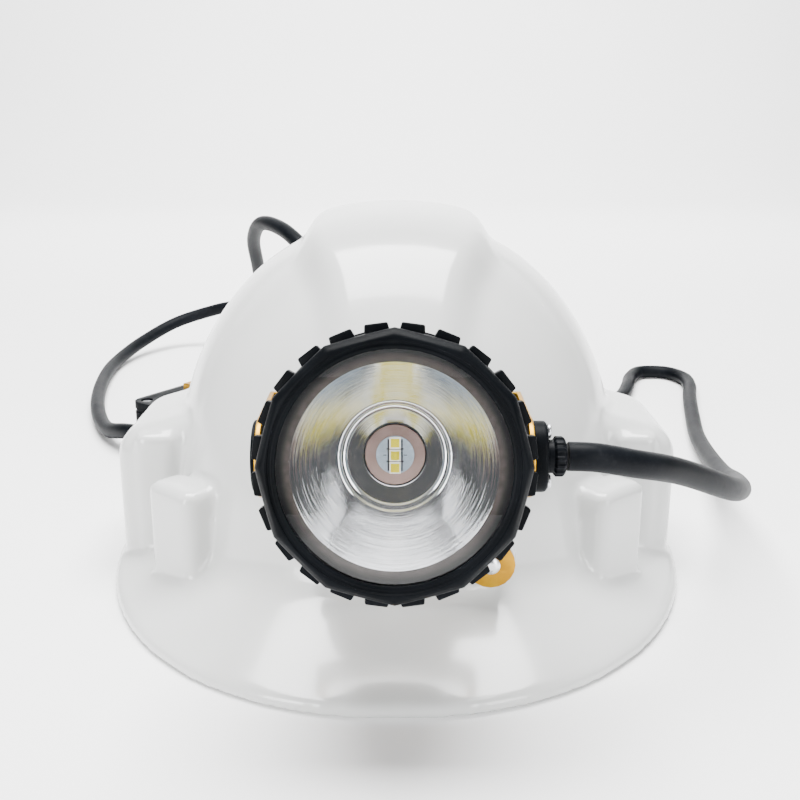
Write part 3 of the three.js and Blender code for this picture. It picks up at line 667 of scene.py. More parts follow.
# %% All the finishes
WHITE = white_plastic()
BLACK = black_plastic()
PACK_BLACK = black_plastic("pack_plastic", 1500)
RUBBER = black_rubber()
CABLE_JACKET = black_rubber("cable_jacket")
GOLD = chromate()
STEEL = bare_metal("steel", (0.5, 0.51, 0.53), (0.72, 0.73, 0.75), 0.2)
ALUMINIUM = bare_metal("aluminium", (0.62, 0.63, 0.65), (0.78, 0.79, 0.8), 0.28)
COPPER = bare_metal("copper", (0.4, 0.27, 0.235), (0.5, 0.36, 0.32), 0.3)
MIRROR = mirror_coat()
SATIN = satin_flange()
CHIP_PAINT = chip_finish()
BOARD_PAINT = board_finish()
LENS = clear_lens()
STRAP = webbing()
FOAM = sweat_foam()
INNER_PLASTIC = moulded("liner_plastic", (0.6, 0.6, 0.57), (0.7, 0.7, 0.67), 0.4)
CELL_WRAP = moulded("cell_wrap", (0.02, 0.09, 0.3), (0.04, 0.14, 0.42), 0.25)
GREEN_BOARD = moulded("board_green", (0.01, 0.09, 0.03), (0.02, 0.15, 0.05), 0.3)
print(len(bpy.data.materials), "materials")

# %% [markdown]
# ## Floor and light
# Floor and backdrop are one pale sheet, curved where they meet, so that no line shows. The sky is
# dim and the light comes from large soft boxes, because a mirror and a glossy dome look like what
# they reflect: bright boxes with darker room between them give them their shape.


# %% Floor, sky and lights
def soft_box(name, place, aim, size, power):
    bpy.ops.object.light_add(type="AREA", location=place)
    light = bpy.context.object
    light.name = name
    light.data.shape = "RECTANGLE"
    light.data.size, light.data.size_y = size
    light.data.energy = power
    direction = Vector(aim) - Vector(place)
    light.rotation_euler = direction.to_track_quat("-Z", "Y").to_euler()
    return light


COVE_SIZE = 5
COVE_REAR = 2.4
SKY_STRENGTH = 0.14


def pale_cove():
    sheet = primitive("plane", "pale_cove", size=COVE_SIZE)
    edit(sheet)
    bpy.ops.mesh.select_all(action="DESELECT")
    close_edit()
    for line in sheet.data.edges:
        line.select = all(sheet.data.vertices[i].co.y > COVE_REAR for i in line.vertices)
    bpy.ops.object.mode_set(mode="EDIT")
    bpy.ops.mesh.extrude_region_move(
        TRANSFORM_OT_translate={"value": (0, 0, COVE_SIZE / 2)}
    )
    bpy.ops.mesh.select_all(action="SELECT")
    close_edit()
    round_edges(sheet, 900, 16, 60)
    bpy.ops.object.shade_smooth()
    paint = Finish("pale_floor", Roughness=0.7)
    tone = paint.ramp(
        paint.noise(3, 2), (0.3, (0.94, 0.94, 0.94)), (0.7, (0.96, 0.96, 0.96))
    )
    paint.feed("Base Color", tone)
    sheet.data.materials.append(paint.material)


pale_cove()
sky = bpy.data.worlds.new("studio_sky")
bpy.context.scene.world = sky
sky.use_nodes = True
sky.node_tree.nodes["Background"].inputs["Color"].default_value = (1, 1, 1, 1)
sky.node_tree.nodes["Background"].inputs["Strength"].default_value = SKY_STRENGTH
soft_box("top_box", (0, 0.1, 1.1), (0, 0, 0.1), (1.0, 0.7), 62)
soft_box("left_box", (-0.62, -0.85, 0.32), (0, -0.05, 0.08), (0.34, 0.6), 13)
soft_box("right_box", (0.62, -0.85, 0.32), (0, -0.05, 0.08), (0.34, 0.6), 8)
soft_box("backdrop_box", (0, 0.9, 1.3), (0, 2.4, 0.5), (2.4, 0.6), 130)
print("studio lit")

# %% [markdown]
# ## Cable
# The rubber cable leaves the lamp on its tilt axis, drops in a curve beside the helmet and folds
# back on the floor. It then climbs to the clip on the back of the helmet and falls in a wide loop
# to the battery pack. A curve object with a round bevel is a real cable's own model: one line.

# %% The cable's route
CABLE_DIAMETER = 8.4
CABLE_ROUTE = [
    (49.2, -138.6, 80.4),
    (57, -138.4, 80),
    (70, -132.5, 76),
    (86, -119, 69),
    (117, -83, 49),
    (141, -18, 27),
    (150, 28, 15),
    (163, 108, 5.2),
    (172, 150, 4.5),
    (182, 192, 4.5),
    (189.5, 220, 4.5),
    (190.5, 238, 4.5),
    (182, 253, 4.5),
    (165, 253.5, 4.5),
    (155.5, 239, 4.5),
    (149, 218, 4.5),
    (139, 192, 4.5),
    (121, 164, 7),
    (94, 145, 20),
    (38, 127, 65),
    (12, 121.5, 81),
    (-5, 121, 84),
    (-19, 121, 84),
    (-33, 124, 89),
    (-48, 137, 101),
    (-64, 160, 111),
    (-80, 188, 112),
    (-90, 220, 99),
    (-93, 255, 77),
    (-97, 292, 54),
    (-112, 330, 38),
    (-140, 352, 29),
    (-170, 348, 20),
    (-190, 322, 11),
    (-199, 285, 5.5),
    (-197, 245, 4.5),
    (-182, 174, 4.5),
    (-161, 121, 6),
    (-143, 97.8, 12),
    (-130.8, 89.4, 13),
]


def smooth_line(route, steps=8):
    """Points on a centripetal curve through the route's points."""
    knots = [Vector(point) for point in route]
    knots = [2 * knots[0] - knots[1], *knots, 2 * knots[-1] - knots[-2]]
    line = []
    for a, b, c, d in zip(knots, knots[1:], knots[2:], knots[3:]):
        t1 = (b - a).length ** 0.5
        t2 = t1 + (c - b).length ** 0.5
        t3 = t2 + (d - c).length ** 0.5
        for k in range(steps):
            t = t1 + (t2 - t1) * k / steps
            ab = a.lerp(b, t / t1)
            bc = b.lerp(c, (t - t1) / (t2 - t1))
            cd = c.lerp(d, (t - t2) / (t3 - t2))
            near = ab.lerp(bc, t / t2)
            far = bc.lerp(cd, (t - t1) / (t3 - t1))
            line.append(near.lerp(far, (t - t1) / (t2 - t1)))
    line.append(knots[-2])
    return line


cable_line = [at(*point) for point in smooth_line(CABLE_ROUTE)]
wire = bpy.data.curves.new("rubber_cable", "CURVE")
wire.dimensions = "3D"
spline = wire.splines.new("POLY")
spline.points.add(len(cable_line) - 1)
for knot, place in zip(spline.points, cable_line):
    knot.co = (*place, 1)
spline.use_smooth = True
wire.bevel_depth = CABLE_DIAMETER / 2 * MM
wire.bevel_resolution = 8
wire.use_fill_caps = True
wire.materials.append(CABLE_JACKET)
cable = bpy.data.objects.new("rubber_cable", wire)
bpy.context.scene.collection.objects.link(cable)
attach(cable, "helmet_and_pack")
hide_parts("cable")

# %% [markdown]
# ## Helmet shell
# The shell is one moulding. It could be pushed out of a cube by hand, but its dome is an exact
# oval in plan and in height, so a sphere primitive is moved ring by ring on to that oval, and on
# to the brim below it. The crest is a swelling of the same surface. The boxes at the ears and
# beside the lamp are separate blocks that overlap the dome. A voxel remesh turns them all into
# one skin, and smoothing that skin gives the soft fillets of a moulded part.

# %% The dome and the brim as one surface
DOME = {"width": 190, "length": 226, "height": 131, "middle": 8, "plan": 2.15, "rise": 2.3}
BRIM = {"width": 226, "front": 133, "back": 147, "middle": -15, "plan": 2.1}
JUNCTION = {"front": 21, "side": 12, "back": 9}
WALL = 2.6
RIM = {"width": 3.2, "height": 4.2}
FILLET = 9
CREST_RISE = 8.6


def oval(angle, half_x, half_y, exponent):
    c = math.cos(angle)
    s = math.sin(angle)
    return Vector(
        (
            math.copysign(half_x * abs(c) ** (2 / exponent), c),
            math.copysign(half_y * abs(s) ** (2 / exponent), s),
        )
    )


def dome_point(angle, height, grown):
    top = DOME["height"] + grown
    share = max(0, 1 - (height / top) ** DOME["rise"]) ** (1 / DOME["rise"])
    across = DOME["width"] / 2 + grown
    along = DOME["length"] / 2 + grown
    x, y = oval(angle, across, along, DOME["plan"]) * share
    return Vector((x, DOME["middle"] + y, height))


def brim_point(angle, inset, height):
    half = BRIM["front"] if math.sin(angle) < 0 else BRIM["back"]
    x, y = oval(angle, BRIM["width"] / 2 - inset, half - inset, BRIM["plan"])
    return Vector((x, BRIM["middle"] + y, height))


def junction_height(angle):
    s = math.sin(angle)
    end = JUNCTION["front"] if s < 0 else JUNCTION["back"]
    return JUNCTION["side"] + (end - JUNCTION["side"]) * s * s


def shell_section(angle, grown, inset, edge, bottom):
    """Points of the shell's section at one angle, from the crown down to the middle below."""
    foot = junction_height(angle) + grown
    top = DOME["height"] + grown
    start = foot + FILLET
    low = math.asin((start / top) ** (DOME["rise"] / 2))
    dome = []
    for k in range(45):
        climb = math.pi / 2 + (low - math.pi / 2) * k / 44
        dome.append(dome_point(angle, top * math.sin(climb) ** (2 / DOME["rise"]), grown))
    corner = dome_point(angle, foot, grown)
    rim = brim_point(angle, inset, edge)
    out = corner.lerp(rim, min(0.5, FILLET / (rim - corner).length))
    fillet = []
    for k in range(1, 9):
        share = k / 8
        upper = dome[-1].lerp(corner, share)
        fillet.append(upper.lerp(corner.lerp(out, share), share))
    brim = [out.lerp(rim, k / 6) for k in range(1, 7)]
    under = brim_point(angle, inset, bottom)
    middle = Vector((0, DOME["middle"], bottom))
    return [*dome, *fillet, *brim, *[under.lerp(middle, k / 5) for k in range(6)]]


def shell_form(name, segments, swell, **section):
    """A sphere whose rings are moved on to the shell's section."""
    rows = len(shell_section(0, **section))
    form = primitive("uv_sphere", name, segments=segments, ring_count=rows - 1)
    sections = {}
    for vertex in form.data.vertices:
        x, y, z = vertex.co
        row = round(math.acos(max(-1, min(1, z))) / math.pi * (rows - 1))
        turn = round(math.atan2(y, x) / (2 * math.pi) * segments) % segments
        if turn not in sections:
            angle = 2 * math.pi * turn / segments
            sections[turn] = shell_section(angle, **section)
        place = sections[turn][row]
        vertex.co = (place + swell(place)) * MM
    return form


# %% [markdown]
# The crest is a low flat band along the crown with sloping flanks. In front it narrows to a V
# behind the lamp. Its half width depends on the elevation seen from the middle of the head.


# %% The crest as a swelling
CREST_HALF_WIDTHS = [(0, 9), (25, 9), (45, 11), (62, 17), (76, 26), (125, 26), (180, 19)]
CREST_FLANK = 16
REAR_STEP = 0.9


def between(stops, value):
    """The value of a line through the stops."""
    for (a, low), (b, high) in zip(stops, stops[1:]):
        if value <= b:
            return low + (high - low) * max(0, value - a) / (b - a)
    return stops[-1][1]


def ease(value, start, end):
    share = max(0, min(1, (value - start) / (end - start)))
    return share * share * (3 - 2 * share)


def outwards(place):
    """The dome's own outward direction at a place on it."""
    grade = Vector(
        (
            place.x / (DOME["width"] / 2) ** 2,
            (place.y - DOME["middle"]) / (DOME["length"] / 2) ** 2,
            place.z / DOME["height"] ** 2,
        )
    )
    return grade.normalized()


def crest_swell(place):
    elevation = math.degrees(math.atan2(place.z, DOME["middle"] - place.y))
    half = between(CREST_HALF_WIDTHS, elevation)
    top = 1 - ease(abs(place.x), half, half + CREST_FLANK)
    rise = CREST_RISE * (0.55 + 0.45 * ease(elevation, 48, 70))
    foot = ease(place.z, 26, 44)
    crease = place.z * 0.25 - abs(place.x) * 0.35 - 36
    rear = REAR_STEP * ease(place.y, crease, crease + 5) * ease(place.z, 55, 80)
    return outwards(place) * max(rise * top * foot, rear)


def no_swell(place):
    return Vector((0, 0, 0))


shell = shell_form(
    "moulded_shell", 180, crest_swell, grown=0, inset=0, edge=RIM["height"], bottom=0
)
print("dome and brim", len(shell.data.vertices), "points")

# %% [markdown]
# The big box at each ear takes the blade of an ear defender. Its shoulder is round and falls
# outwards, and its front wall carries a raised panel. The small box beside the lamp is turned to
# face outwards. The flat pad in front is what the lamp's plate is riveted to.

# %% Boxes and pad
EAR_BOX = {"outer": 109, "front": -45, "back": 15, "top": 67, "shoulder": 55}
FRONT_BOX = {"x": 77, "y": -69, "width": 25, "depth": 16, "top": 46, "turn": 42}
PAD = {"half": 29, "low": 27, "high": 88, "front": -108, "lobe": (31, 33), "lobe_radius": 9}


def ear_box(side):
    outer, top = EAR_BOX["outer"], EAR_BOX["top"]
    box = block("ear_box", (68, EAR_BOX["front"], 1), (outer, EAR_BOX["back"], top))
    for vertex in box.data.vertices:
        if vertex.co.z > 0.05 and vertex.co.x > 0.1:
            vertex.co.z = EAR_BOX["shoulder"] * MM
    round_edges(box, 9, 5)
    panel = block("panel", (85, EAR_BOX["front"] - 2.6, 4), (100, -30, 57))
    round_edges(panel, 2.5, 4)
    gather(box, panel)
    if side < 0:
        box.data.transform(Matrix.Scale(-1, 4, (1, 0, 0)))
        box.data.flip_normals()
    return box


def front_box(side):
    width, depth = FRONT_BOX["width"] / 2, FRONT_BOX["depth"] / 2
    box = block("front_box", (-width, -depth, 4), (width, depth, FRONT_BOX["top"]))
    round_edges(box, 3.5, 4)
    turn = Matrix.Rotation(math.radians(side * FRONT_BOX["turn"]), 4, "Z")
    place = Vector((side * FRONT_BOX["x"], FRONT_BOX["y"], 0)) * MM
    box.data.transform(Matrix.Translation(place) @ turn)
    return box


def lamp_pad():
    half, front = PAD["half"], PAD["front"]
    pad = block("pad", (-half, front, PAD["low"]), (half, front + 34, PAD["high"]))
    round_edges(pad, 2, 3)
    x, z = PAD["lobe"]
    radius = PAD["lobe_radius"]
    lobe = turned("lobe", [(0, 0), (radius, 0, 1), (radius, -28), (0, -28)], 48)
    lobe.data.transform(Matrix.Translation(Vector((x, front, z)) * MM))
    neck = block("neck", (half - 6, front, z - radius), (x, front + 30, z + radius))
    return gather(pad, lobe, neck)


parts = [ear_box(1), ear_box(-1), front_box(1), front_box(-1), lamp_pad()]
gather(shell, *parts)
VOXEL = 1.3
finish_with(shell, "REMESH", mode="VOXEL", voxel_size=VOXEL * MM)
finish_with(shell, "SMOOTH", factor=0.5, iterations=16)
hollow = shell_form(
    "hollow", 96, no_swell, grown=-WALL, inset=RIM["width"], edge=2.9, bottom=-4
)
cut(shell, hollow)
for side in (-1, 1):
    slot = block("slot", (98.3, -32, -5), (101.7, 2, 44))
    slot.data.transform(Matrix.Rotation(math.pi if side < 0 else 0, 4, "Z"))
    if side < 0:
        slot.data.transform(Matrix.Translation((0, -0.03, 0)))
    cut(shell, slot)
settle(shell, HELMET, "helmet_and_pack", WHITE, ["helmet_shell"], 50)

# %% [markdown]
# ## Suspension
# Inside the shell a plastic band runs round the head and carries a foam sweatband in front. Two
# crossed straps bear the weight, on four keys in the shell's wall, and a knob at the nape tightens
# the band. The band and the keys are simple mouldings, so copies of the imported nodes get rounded
# edges. The straps are woven, and the sweatband is soft.

# %% Band, straps, keys and knob
ROOT = "helmet_and_pack"


def band():
    piece = copy_of("helmet_headband", "size_band", 0.5, 3)
    for side in (-1, 1):
        for row in range(5):
            y = 8 + (row - 2) * 16
            hole = block("vent", (side * 60, y - 4, 19), (side * 90, y + 4, 27))
            round_edges(hole, 1.8)
            hole.data.transform(HELMET)
            cut(piece, hole)
    return piece


settle(band(), HERE, ROOT, INNER_PLASTIC, ["helmet_headband"])


def crossed_straps():
    piece = copy_of("helmet_crown_cradle", "crossed_straps", 0)
    return round_edges(piece, 0.45, 3, 50)


settle(crossed_straps(), HERE, ROOT, STRAP, ["helmet_crown_cradle"])

for number in (1, 2, 3, 4):
    node = f"helmet_hanger_key_{number}"
    key = copy_of(node, f"hanger_key_{number}", 0.7, 3)
    settle(key, HERE, ROOT, INNER_PLASTIC, [node])

nape = copy_of("helmet_nape_housing", "nape_housing", 1.0, 4)
settle(nape, HERE, ROOT, PACK_BLACK, ["helmet_nape_housing"])


def ratchet_knob():
    low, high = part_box("helmet_ratchet_knob")
    depth = (high.y - low.y) / MM
    radius = (high.x - low.x) / 2 / MM
    outline = [
        (0, 0),
        (radius, 0, 0.6),
        (radius, -depth, 1.6),
        (6, -depth),
        (5, 1.2 - depth),
        (0, 1.2 - depth),
    ]
    knob = turned("size_knob", outline, 144)
    for vertex in knob.data.vertices:
        reach = math.hypot(vertex.co.x, vertex.co.z)
        if reach > (radius - 2) * MM:
            wave = 1 - 0.035 * (1 - math.cos(18 * math.atan2(vertex.co.z, vertex.co.x)))
            vertex.co.x *= wave
            vertex.co.z *= wave
    place = Vector(((low.x + high.x) / 2, low.y, (low.z + high.z) / 2))
    return settle(
        knob,
        Matrix.Translation(place),
        "ratchet_knob",
        PACK_BLACK,
        ["helmet_ratchet_knob"],
    )


ratchet_knob()

# %% [markdown]
# The sweatband is a strip of covered foam. A copy of its node is remeshed to an even skin, and
# smoothing then draws its corners in as the cover does. Short seams cross it.


# %% Sweatband
def sweatband():
    piece = copy_of("helmet_sweatband", "brow_pad", 0)
    finish_with(piece, "REMESH", mode="VOXEL", voxel_size=0.75 * MM)
    finish_with(piece, "SMOOTH", factor=0.6, iterations=6)
    middle = ORIGIN + Vector((0, DOME["middle"], 0)) * MM
    for vertex in piece.data.vertices:
        spot = vertex.co - middle
        turn = math.degrees(math.atan2(spot.y, spot.x)) % 15 - 7.5
        seam = 1 - ease(abs(turn), 0, 0.9)
        edge = ease(abs(spot.z - 23 * MM), 0.009, 0.015)
        inward = Vector((spot.x, spot.y, 0)).normalized()
        vertex.co += inward * 0.6 * MM * max(seam, edge)
    settle(piece, HERE, ROOT, FOAM, ["helmet_sweatband"], 80)


sweatband()

# %% [markdown]
# The cord clip is a moulded loop held by one rivet at the back of the crest.

# %% Cord clip
clip = copy_of("helmet_cord_clip", "cord_clip", 0.5, 3)
settle(clip, HERE, ROOT, PACK_BLACK, ["helmet_cord_clip"])


# %% [markdown]
# ## Bracket
# The plate is riveted to the pad and the U-shaped yoke slides into its rails. Both are pressed
# from sheet, so their edges are barely rounded: a bevel of a third of a millimetre catches the
# light without making them look moulded. A rivet's head is a low dome with a flat top.


# %% Plate, yoke and rivets
plate = copy_of("lamp_plate", "riveted_plate", 0.3, 2)
settle(plate, HERE, ROOT, GOLD, ["lamp_plate"], 30)
fork = copy_of("yoke", "lamp_yoke", 0.35, 2)
settle(fork, HERE, ROOT, GOLD, ["yoke"], 30)

RIVET_HEAD = 3


def rivet_from(node, name, facing):
    """A rivet with its head towards -Y, or +Y at the back of the helmet."""
    low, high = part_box(node)
    length = (high.y - low.y) / MM
    head = 1.3
    outline = [
        (0, head),
        (1.2, head, 0.3),
        (2.3, head * 0.75),
        (RIVET_HEAD, 0.4),
        (RIVET_HEAD, 0, 0.1),
        (1.6, 0),
        (1.6, head - length, 0.4),
        (0, head - length),
    ]
    piece = turned(name, outline, 48)
    if facing > 0:
        piece.data.transform(Matrix.Rotation(math.pi, 4, "Z"))
    base = low.y + head * MM if facing < 0 else high.y - head * MM
    place = Vector(((low.x + high.x) / 2, base, (low.z + high.z) / 2))
    settle(piece, Matrix.Translation(place), ROOT, STEEL, [node])


for number in (1, 2, 3):
    rivet_from(f"plate_rivet_{number}", f"rivet_{number}", -1)
rivet_from("helmet_clip_rivet", "clip_rivet", 1)

# %% [markdown]
# ## Headpiece
# The housing is a round moulding with a boss on each side that turns in the yoke. The bosses are
# turned too, and a boolean union welds them on.

# %% Housing
BODY = {
    "radius": 36.3,
    "back": -19,
    "shoulder": 13.8,
    "wall": 2.5,
    "nose": 33.5,
    "nose_front": 20.6,
}
ARM_OUTSIDE = 38.7
TRUNNION = 9.2


def housing():
    radius, back, wall = BODY["radius"], BODY["back"], BODY["wall"]
    shoulder, nose, nose_front = BODY["shoulder"], BODY["nose"], BODY["nose_front"]
    outline = [
        (0, back + 0.8),
        (13.6, back + 0.8, 0.3),
        (14, back, 0.3),
        (20, back, 2),
        (28, back + 3.5, 5),
        (33.8, back + 9, 5),
        (radius, back + 16, 4),
        (radius, shoulder, 0.6),
        (nose, shoulder + 0.3),
        (nose, nose_front, 0.4),
        (29.9, nose_front),
        (29.9, shoulder - 1),
        (radius - wall, shoulder - 4),
        (radius - wall, back + 16, 4),
        (31.5, back + 10.6, 4),
        (26.4, back + 5.8, 3),
        (19.4, back + wall),
        (0, back + wall),
    ]
    body = turned("lamp_body", outline, 120)
    for side in (-1, 1):
        near, far = side * (radius - 2), side * ARM_OUTSIDE
        shape = [(0, near), (TRUNNION, near), (TRUNNION, far, 0.5), (0, far)]
        boss = turned("boss", shape, 72, "right")
        weld(body, boss)
    reach = BODY["radius"] + 6
    cut(body, turned("cable_bore", [(0, 20), (4.5, 20), (4.5, reach), (0, reach)], 48, "right"))
    bore = [(0, -20), (2.3, -20), (2.3, -reach), (0, -reach)]
    cut(body, turned("screw_bore", bore, 32, "right"))
    button = turned("button_bore", [(0, -50), (6.3, -50), (6.3, -20), (0, -20)], 48, "up")
    button.data.transform(Matrix.Translation((0, -2 * MM, 0)))
    return cut(body, button)


settle(housing(), LAMP, "headpiece", BLACK, ["lamp_housing"])

# %% [markdown]
# The bezel is a screwed ring. Its face has twelve soft facets that fade towards the lens, which
# is why the line between face and flank wavers. Behind them stand twenty-four blocks to grip. The
# ring is turned, a formula draws its flank in between the facets' corners, and one block is
# modelled and copied round.

# %% Bezel ring
FACET_DEPTH = 1.05
LUGS = 24
BEZEL = {"radius": 36.7, "tip": 38, "back": 16.5, "front": 21.3}


def bezel_ring():
    radius = BEZEL["radius"]
    root = radius - 0.9
    outline = [
        (33.9, 14.2),
        (root, 14.2, 0.5),
        (root, 21.6),
        (radius, 22.3, 0.8),
        (radius, 24.6, 1.6),
        (34.9, 26.6, 0.9),
        (33.3, 26.95, 0.5),
        (33.0, 26.3, 0.3),
        (32.4, 26.2, 0.2),
        (31.9, 26.4, 0.3),
        (31.0, 25.9, 0.3),
        (31.0, 25.2),
        (33.9, 25.2),
    ]
    ring = turned("bezel_ring_piece", outline, 288)
    for vertex in ring.data.vertices:
        x, y, z = vertex.co / MM
        reach = math.hypot(x, z)
        outer = ease(reach, 32.6, 36.2) * ease(-y, 21.4, 22.6)
        corner = abs(((math.degrees(math.atan2(z, x)) + 15) % 30) - 15) / 15
        depth = FACET_DEPTH * (1 - (1 - corner) ** 2) * outer
        vertex.co.x *= 1 - depth / reach
        vertex.co.z *= 1 - depth / reach
    return ring


def lug():
    half = math.pi / LUGS * 0.76 * 36
    piece = block("lug", (-half, -BEZEL["front"], 34.6), (half, -BEZEL["back"], BEZEL["tip"]))
    for vertex in piece.data.vertices:
        if vertex.co.z > 0.036:
            vertex.co.x *= 0.86
            vertex.co.y = -0.0189 + (vertex.co.y + 0.0189) * 0.84
    return round_edges(piece, 0.45, 3)


def grip_blocks():
    first = lug()
    first.data.transform(Matrix.Rotation(math.pi / LUGS, 4, "Y"))
    blocks = [first]
    for number in range(1, LUGS):
        other = bpy.data.objects.new("lug", first.data.copy())
        bpy.context.scene.collection.objects.link(other)
        other.data.transform(Matrix.Rotation(2 * math.pi * number / LUGS, 4, "Y"))
        blocks.append(other)
    return gather(*blocks)


bezel = gather(bezel_ring(), grip_blocks())
settle(bezel, LAMP, "bezel", BLACK, ["bezel_ring"], 32)

# %% [markdown]
# The lens is a flat disc with a polished edge, on a rubber gasket.

# %% Lens and gasket
LENS_PLACE = {"back": 22.4, "front": 24.9, "radius": 33.4}


def lens():
    back, front, radius = LENS_PLACE["back"], LENS_PLACE["front"], LENS_PLACE["radius"]
    outline = [(0, back), (radius, back, 0.3), (radius, front, 0.3), (0, front)]
    return turned("lens_disc", outline, 144)


settle(lens(), LAMP, "lens_carrier", LENS, ["lens"])
seal_outline = [(31.9, 20.9, 0.3), (33.4, 20.9, 0.3), (33.4, 22.1, 0.3), (31.9, 22.1, 0.3)]
seal = turned("lens_seal", seal_outline, 144)
settle(seal, LAMP, "lens_carrier", RUBBER, ["lens_gasket"])

# %% [markdown]
# The reflector is a paraboloid. Two fine steps ring its bottom, where the mould's insert ends, and
# a satin flange surrounds its rim. A paraboloid throws light forwards when it comes from near its
# focus. The chips sit a little behind it, so their image spreads over the bowl's upper half.

# %% Reflector
REFLECTOR = {"rim": 27.6, "rim_at": 22.1, "flange": 31.6, "four_f": 27, "hole": 8.85}
STEP_RINGS = [15.0, 13.5]


def bowl_at(radius):
    vertex = REFLECTOR["rim_at"] - REFLECTOR["rim"] ** 2 / REFLECTOR["four_f"]
    return vertex + radius**2 / REFLECTOR["four_f"]


def reflector():
    rim, hole, flange = REFLECTOR["rim"], REFLECTOR["hole"], REFLECTOR["flange"]
    front = REFLECTOR["rim_at"]
    inside = [(rim + 0.55, front - 0.25), (rim + 0.1, front - 0.2)]
    steps = 96
    for k in range(steps + 1):
        radius = rim + (hole - rim) * k / steps
        height = bowl_at(radius)
        for ring in STEP_RINGS:
            height += 0.3 * math.exp(-(((radius - ring) / 0.28) ** 2))
        inside.append((radius, height))
    lip = [(hole - 0.25, bowl_at(hole) + 0.1), (hole - 0.3, bowl_at(hole) - 1.1)]
    outside = []
    for k in range(1, 13):
        radius = hole + (rim - hole) * k / 12
        outside.append((radius + 0.8, bowl_at(radius) - 1.2))
    back = [(rim + 1.2, 20.9), (flange, 20.9), (flange, front)]
    piece = turned("mirror_bowl", [*inside, *lip, *outside[:-1], *back], 160)
    piece.data.materials.append(MIRROR)
    piece.data.materials.append(SATIN)
    for face in piece.data.polygons:
        reach = math.hypot(face.center.x, face.center.z) / MM
        face.material_index = 1 if reach > rim + 0.3 and face.normal.y < -0.5 else 0
    return piece


settle(reflector(), LAMP, "headpiece", None, ["reflector"], 50)

# %% [markdown]
# Behind the bowl's hole sits a copper plate with the round board on it, and the three chips stand
# on the board in a line. The middle one has a clear silicone dome.

# %% Chips, board, plate and heat sink
CHIP = {"side": 3.1, "front": -0.95, "height": 0.8, "dome": 1.4}
BOARD_FRONT = CHIP["front"] - CHIP["height"] - 0.3
PLATE_FRONT = BOARD_FRONT - 1.1


def chip_tile(number):
    half = CHIP["side"] / 2
    up = (number - 2) * CHIP_PITCH
    low = (-half, -CHIP["front"], up - half)
    tile = block(f"chip_{number}", low, (half, CHIP["height"] - CHIP["front"], up + half))
    round_edges(tile, 0.12, 2)
    if number == 2:
        radius = CHIP["dome"]
        arc = [math.radians(15 * k) for k in range(6, -1, -1)]
        curve = [(radius * math.cos(a), radius * math.sin(a)) for a in arc]
        dome = turned("chip_dome", [*curve, (0, 0)], 48)
        middle = Vector((0, -CHIP["front"] + 0.05, up)) * MM
        dome.data.transform(Matrix.Translation(middle))
        gather(tile, dome)
    return tile


for number in (1, 2, 3):
    settle(chip_tile(number), LAMP, "headpiece", CHIP_PAINT, [f"led_{number}"])


def disc(name, radius, back, front, edge=0.15):
    outline = [(0, back), (radius, back), (radius, front, edge), (0, front)]
    return turned(name, outline, 96)


board = disc("chip_board", 5.2, BOARD_FRONT - 0.8, BOARD_FRONT)
settle(board, LAMP, "headpiece", BOARD_PAINT, ["led_board"])
copper = disc("copper_plate", 8.2, PLATE_FRONT - 1, PLATE_FRONT)
settle(copper, LAMP, "headpiece", COPPER, ["led_base_plate"])


def heat_sink():
    back = BODY["back"] + BODY["wall"] + 0.3
    top = PLATE_FRONT - 1.3
    outline = [(0, back), (19, back, 0.4), (19, -10, 0.5), (8.2, -8), (8.2, top), (0, top)]
    piece = turned("heat_spreader", outline, 96)
    for number in range(5):
        radius = 10 + number * 1.7
        groove = [(radius, -6), (radius + 0.6, -6), (radius + 0.6, -12.5), (radius, -12.5)]
        cut(piece, turned("groove", groove, 72))
    return piece


settle(heat_sink(), LAMP, "headpiece", ALUMINIUM, ["heat_sink"])

# %% [markdown]
# The push button under the housing is a rubber cap with a shallow dish for the finger.

# %% Switch button
low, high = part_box("switch_button")
button_outline = [
    (0, -38.0),
    (4, -38.3),
    (5.4, -38.6, 0.4),
    (6, -38.0, 0.3),
    (6, -32.4),
    (7.2, -32.4, 0.2),
    (7.2, -30.9, 0.2),
    (0, -30.9),
]
button = turned("push_button", button_outline, 96, "up")
button.data.transform(Matrix.Translation((0, -2 * MM, 0)))
settle(button, LAMP, "switch", RUBBER, ["switch_button"])

# %% [markdown]
# On the wearer's left the cable enters through an oval flange, held by two cross-slotted screws,
# and a ribbed collar nips it. On the other side the arm turns on a shouldered screw.

# %% Gland and pivot
FLANGE = {"inner": 39.0, "outer": 43.0, "radius": 7.7, "straight": 2.5, "screw": 7.2}
COLLAR = {"inner": 43.3, "outer": 48.4, "radius": 5.8, "ribs": 14}


def oval_flange():
    inner, outer, radius = FLANGE["inner"], FLANGE["outer"], FLANGE["radius"]
    outline = [(0, inner), (radius, inner, 0.3), (radius, outer, 1.2), (0, outer)]
    piece = turned("cable_flange", outline, 96, "right")
    for vertex in piece.data.vertices:
        if abs(vertex.co.z) > 1e-6:
            vertex.co.z += math.copysign(FLANGE["straight"] * MM, vertex.co.z)
    return piece


settle(oval_flange(), LAMP, "headpiece", BLACK, ["gland_flange"])


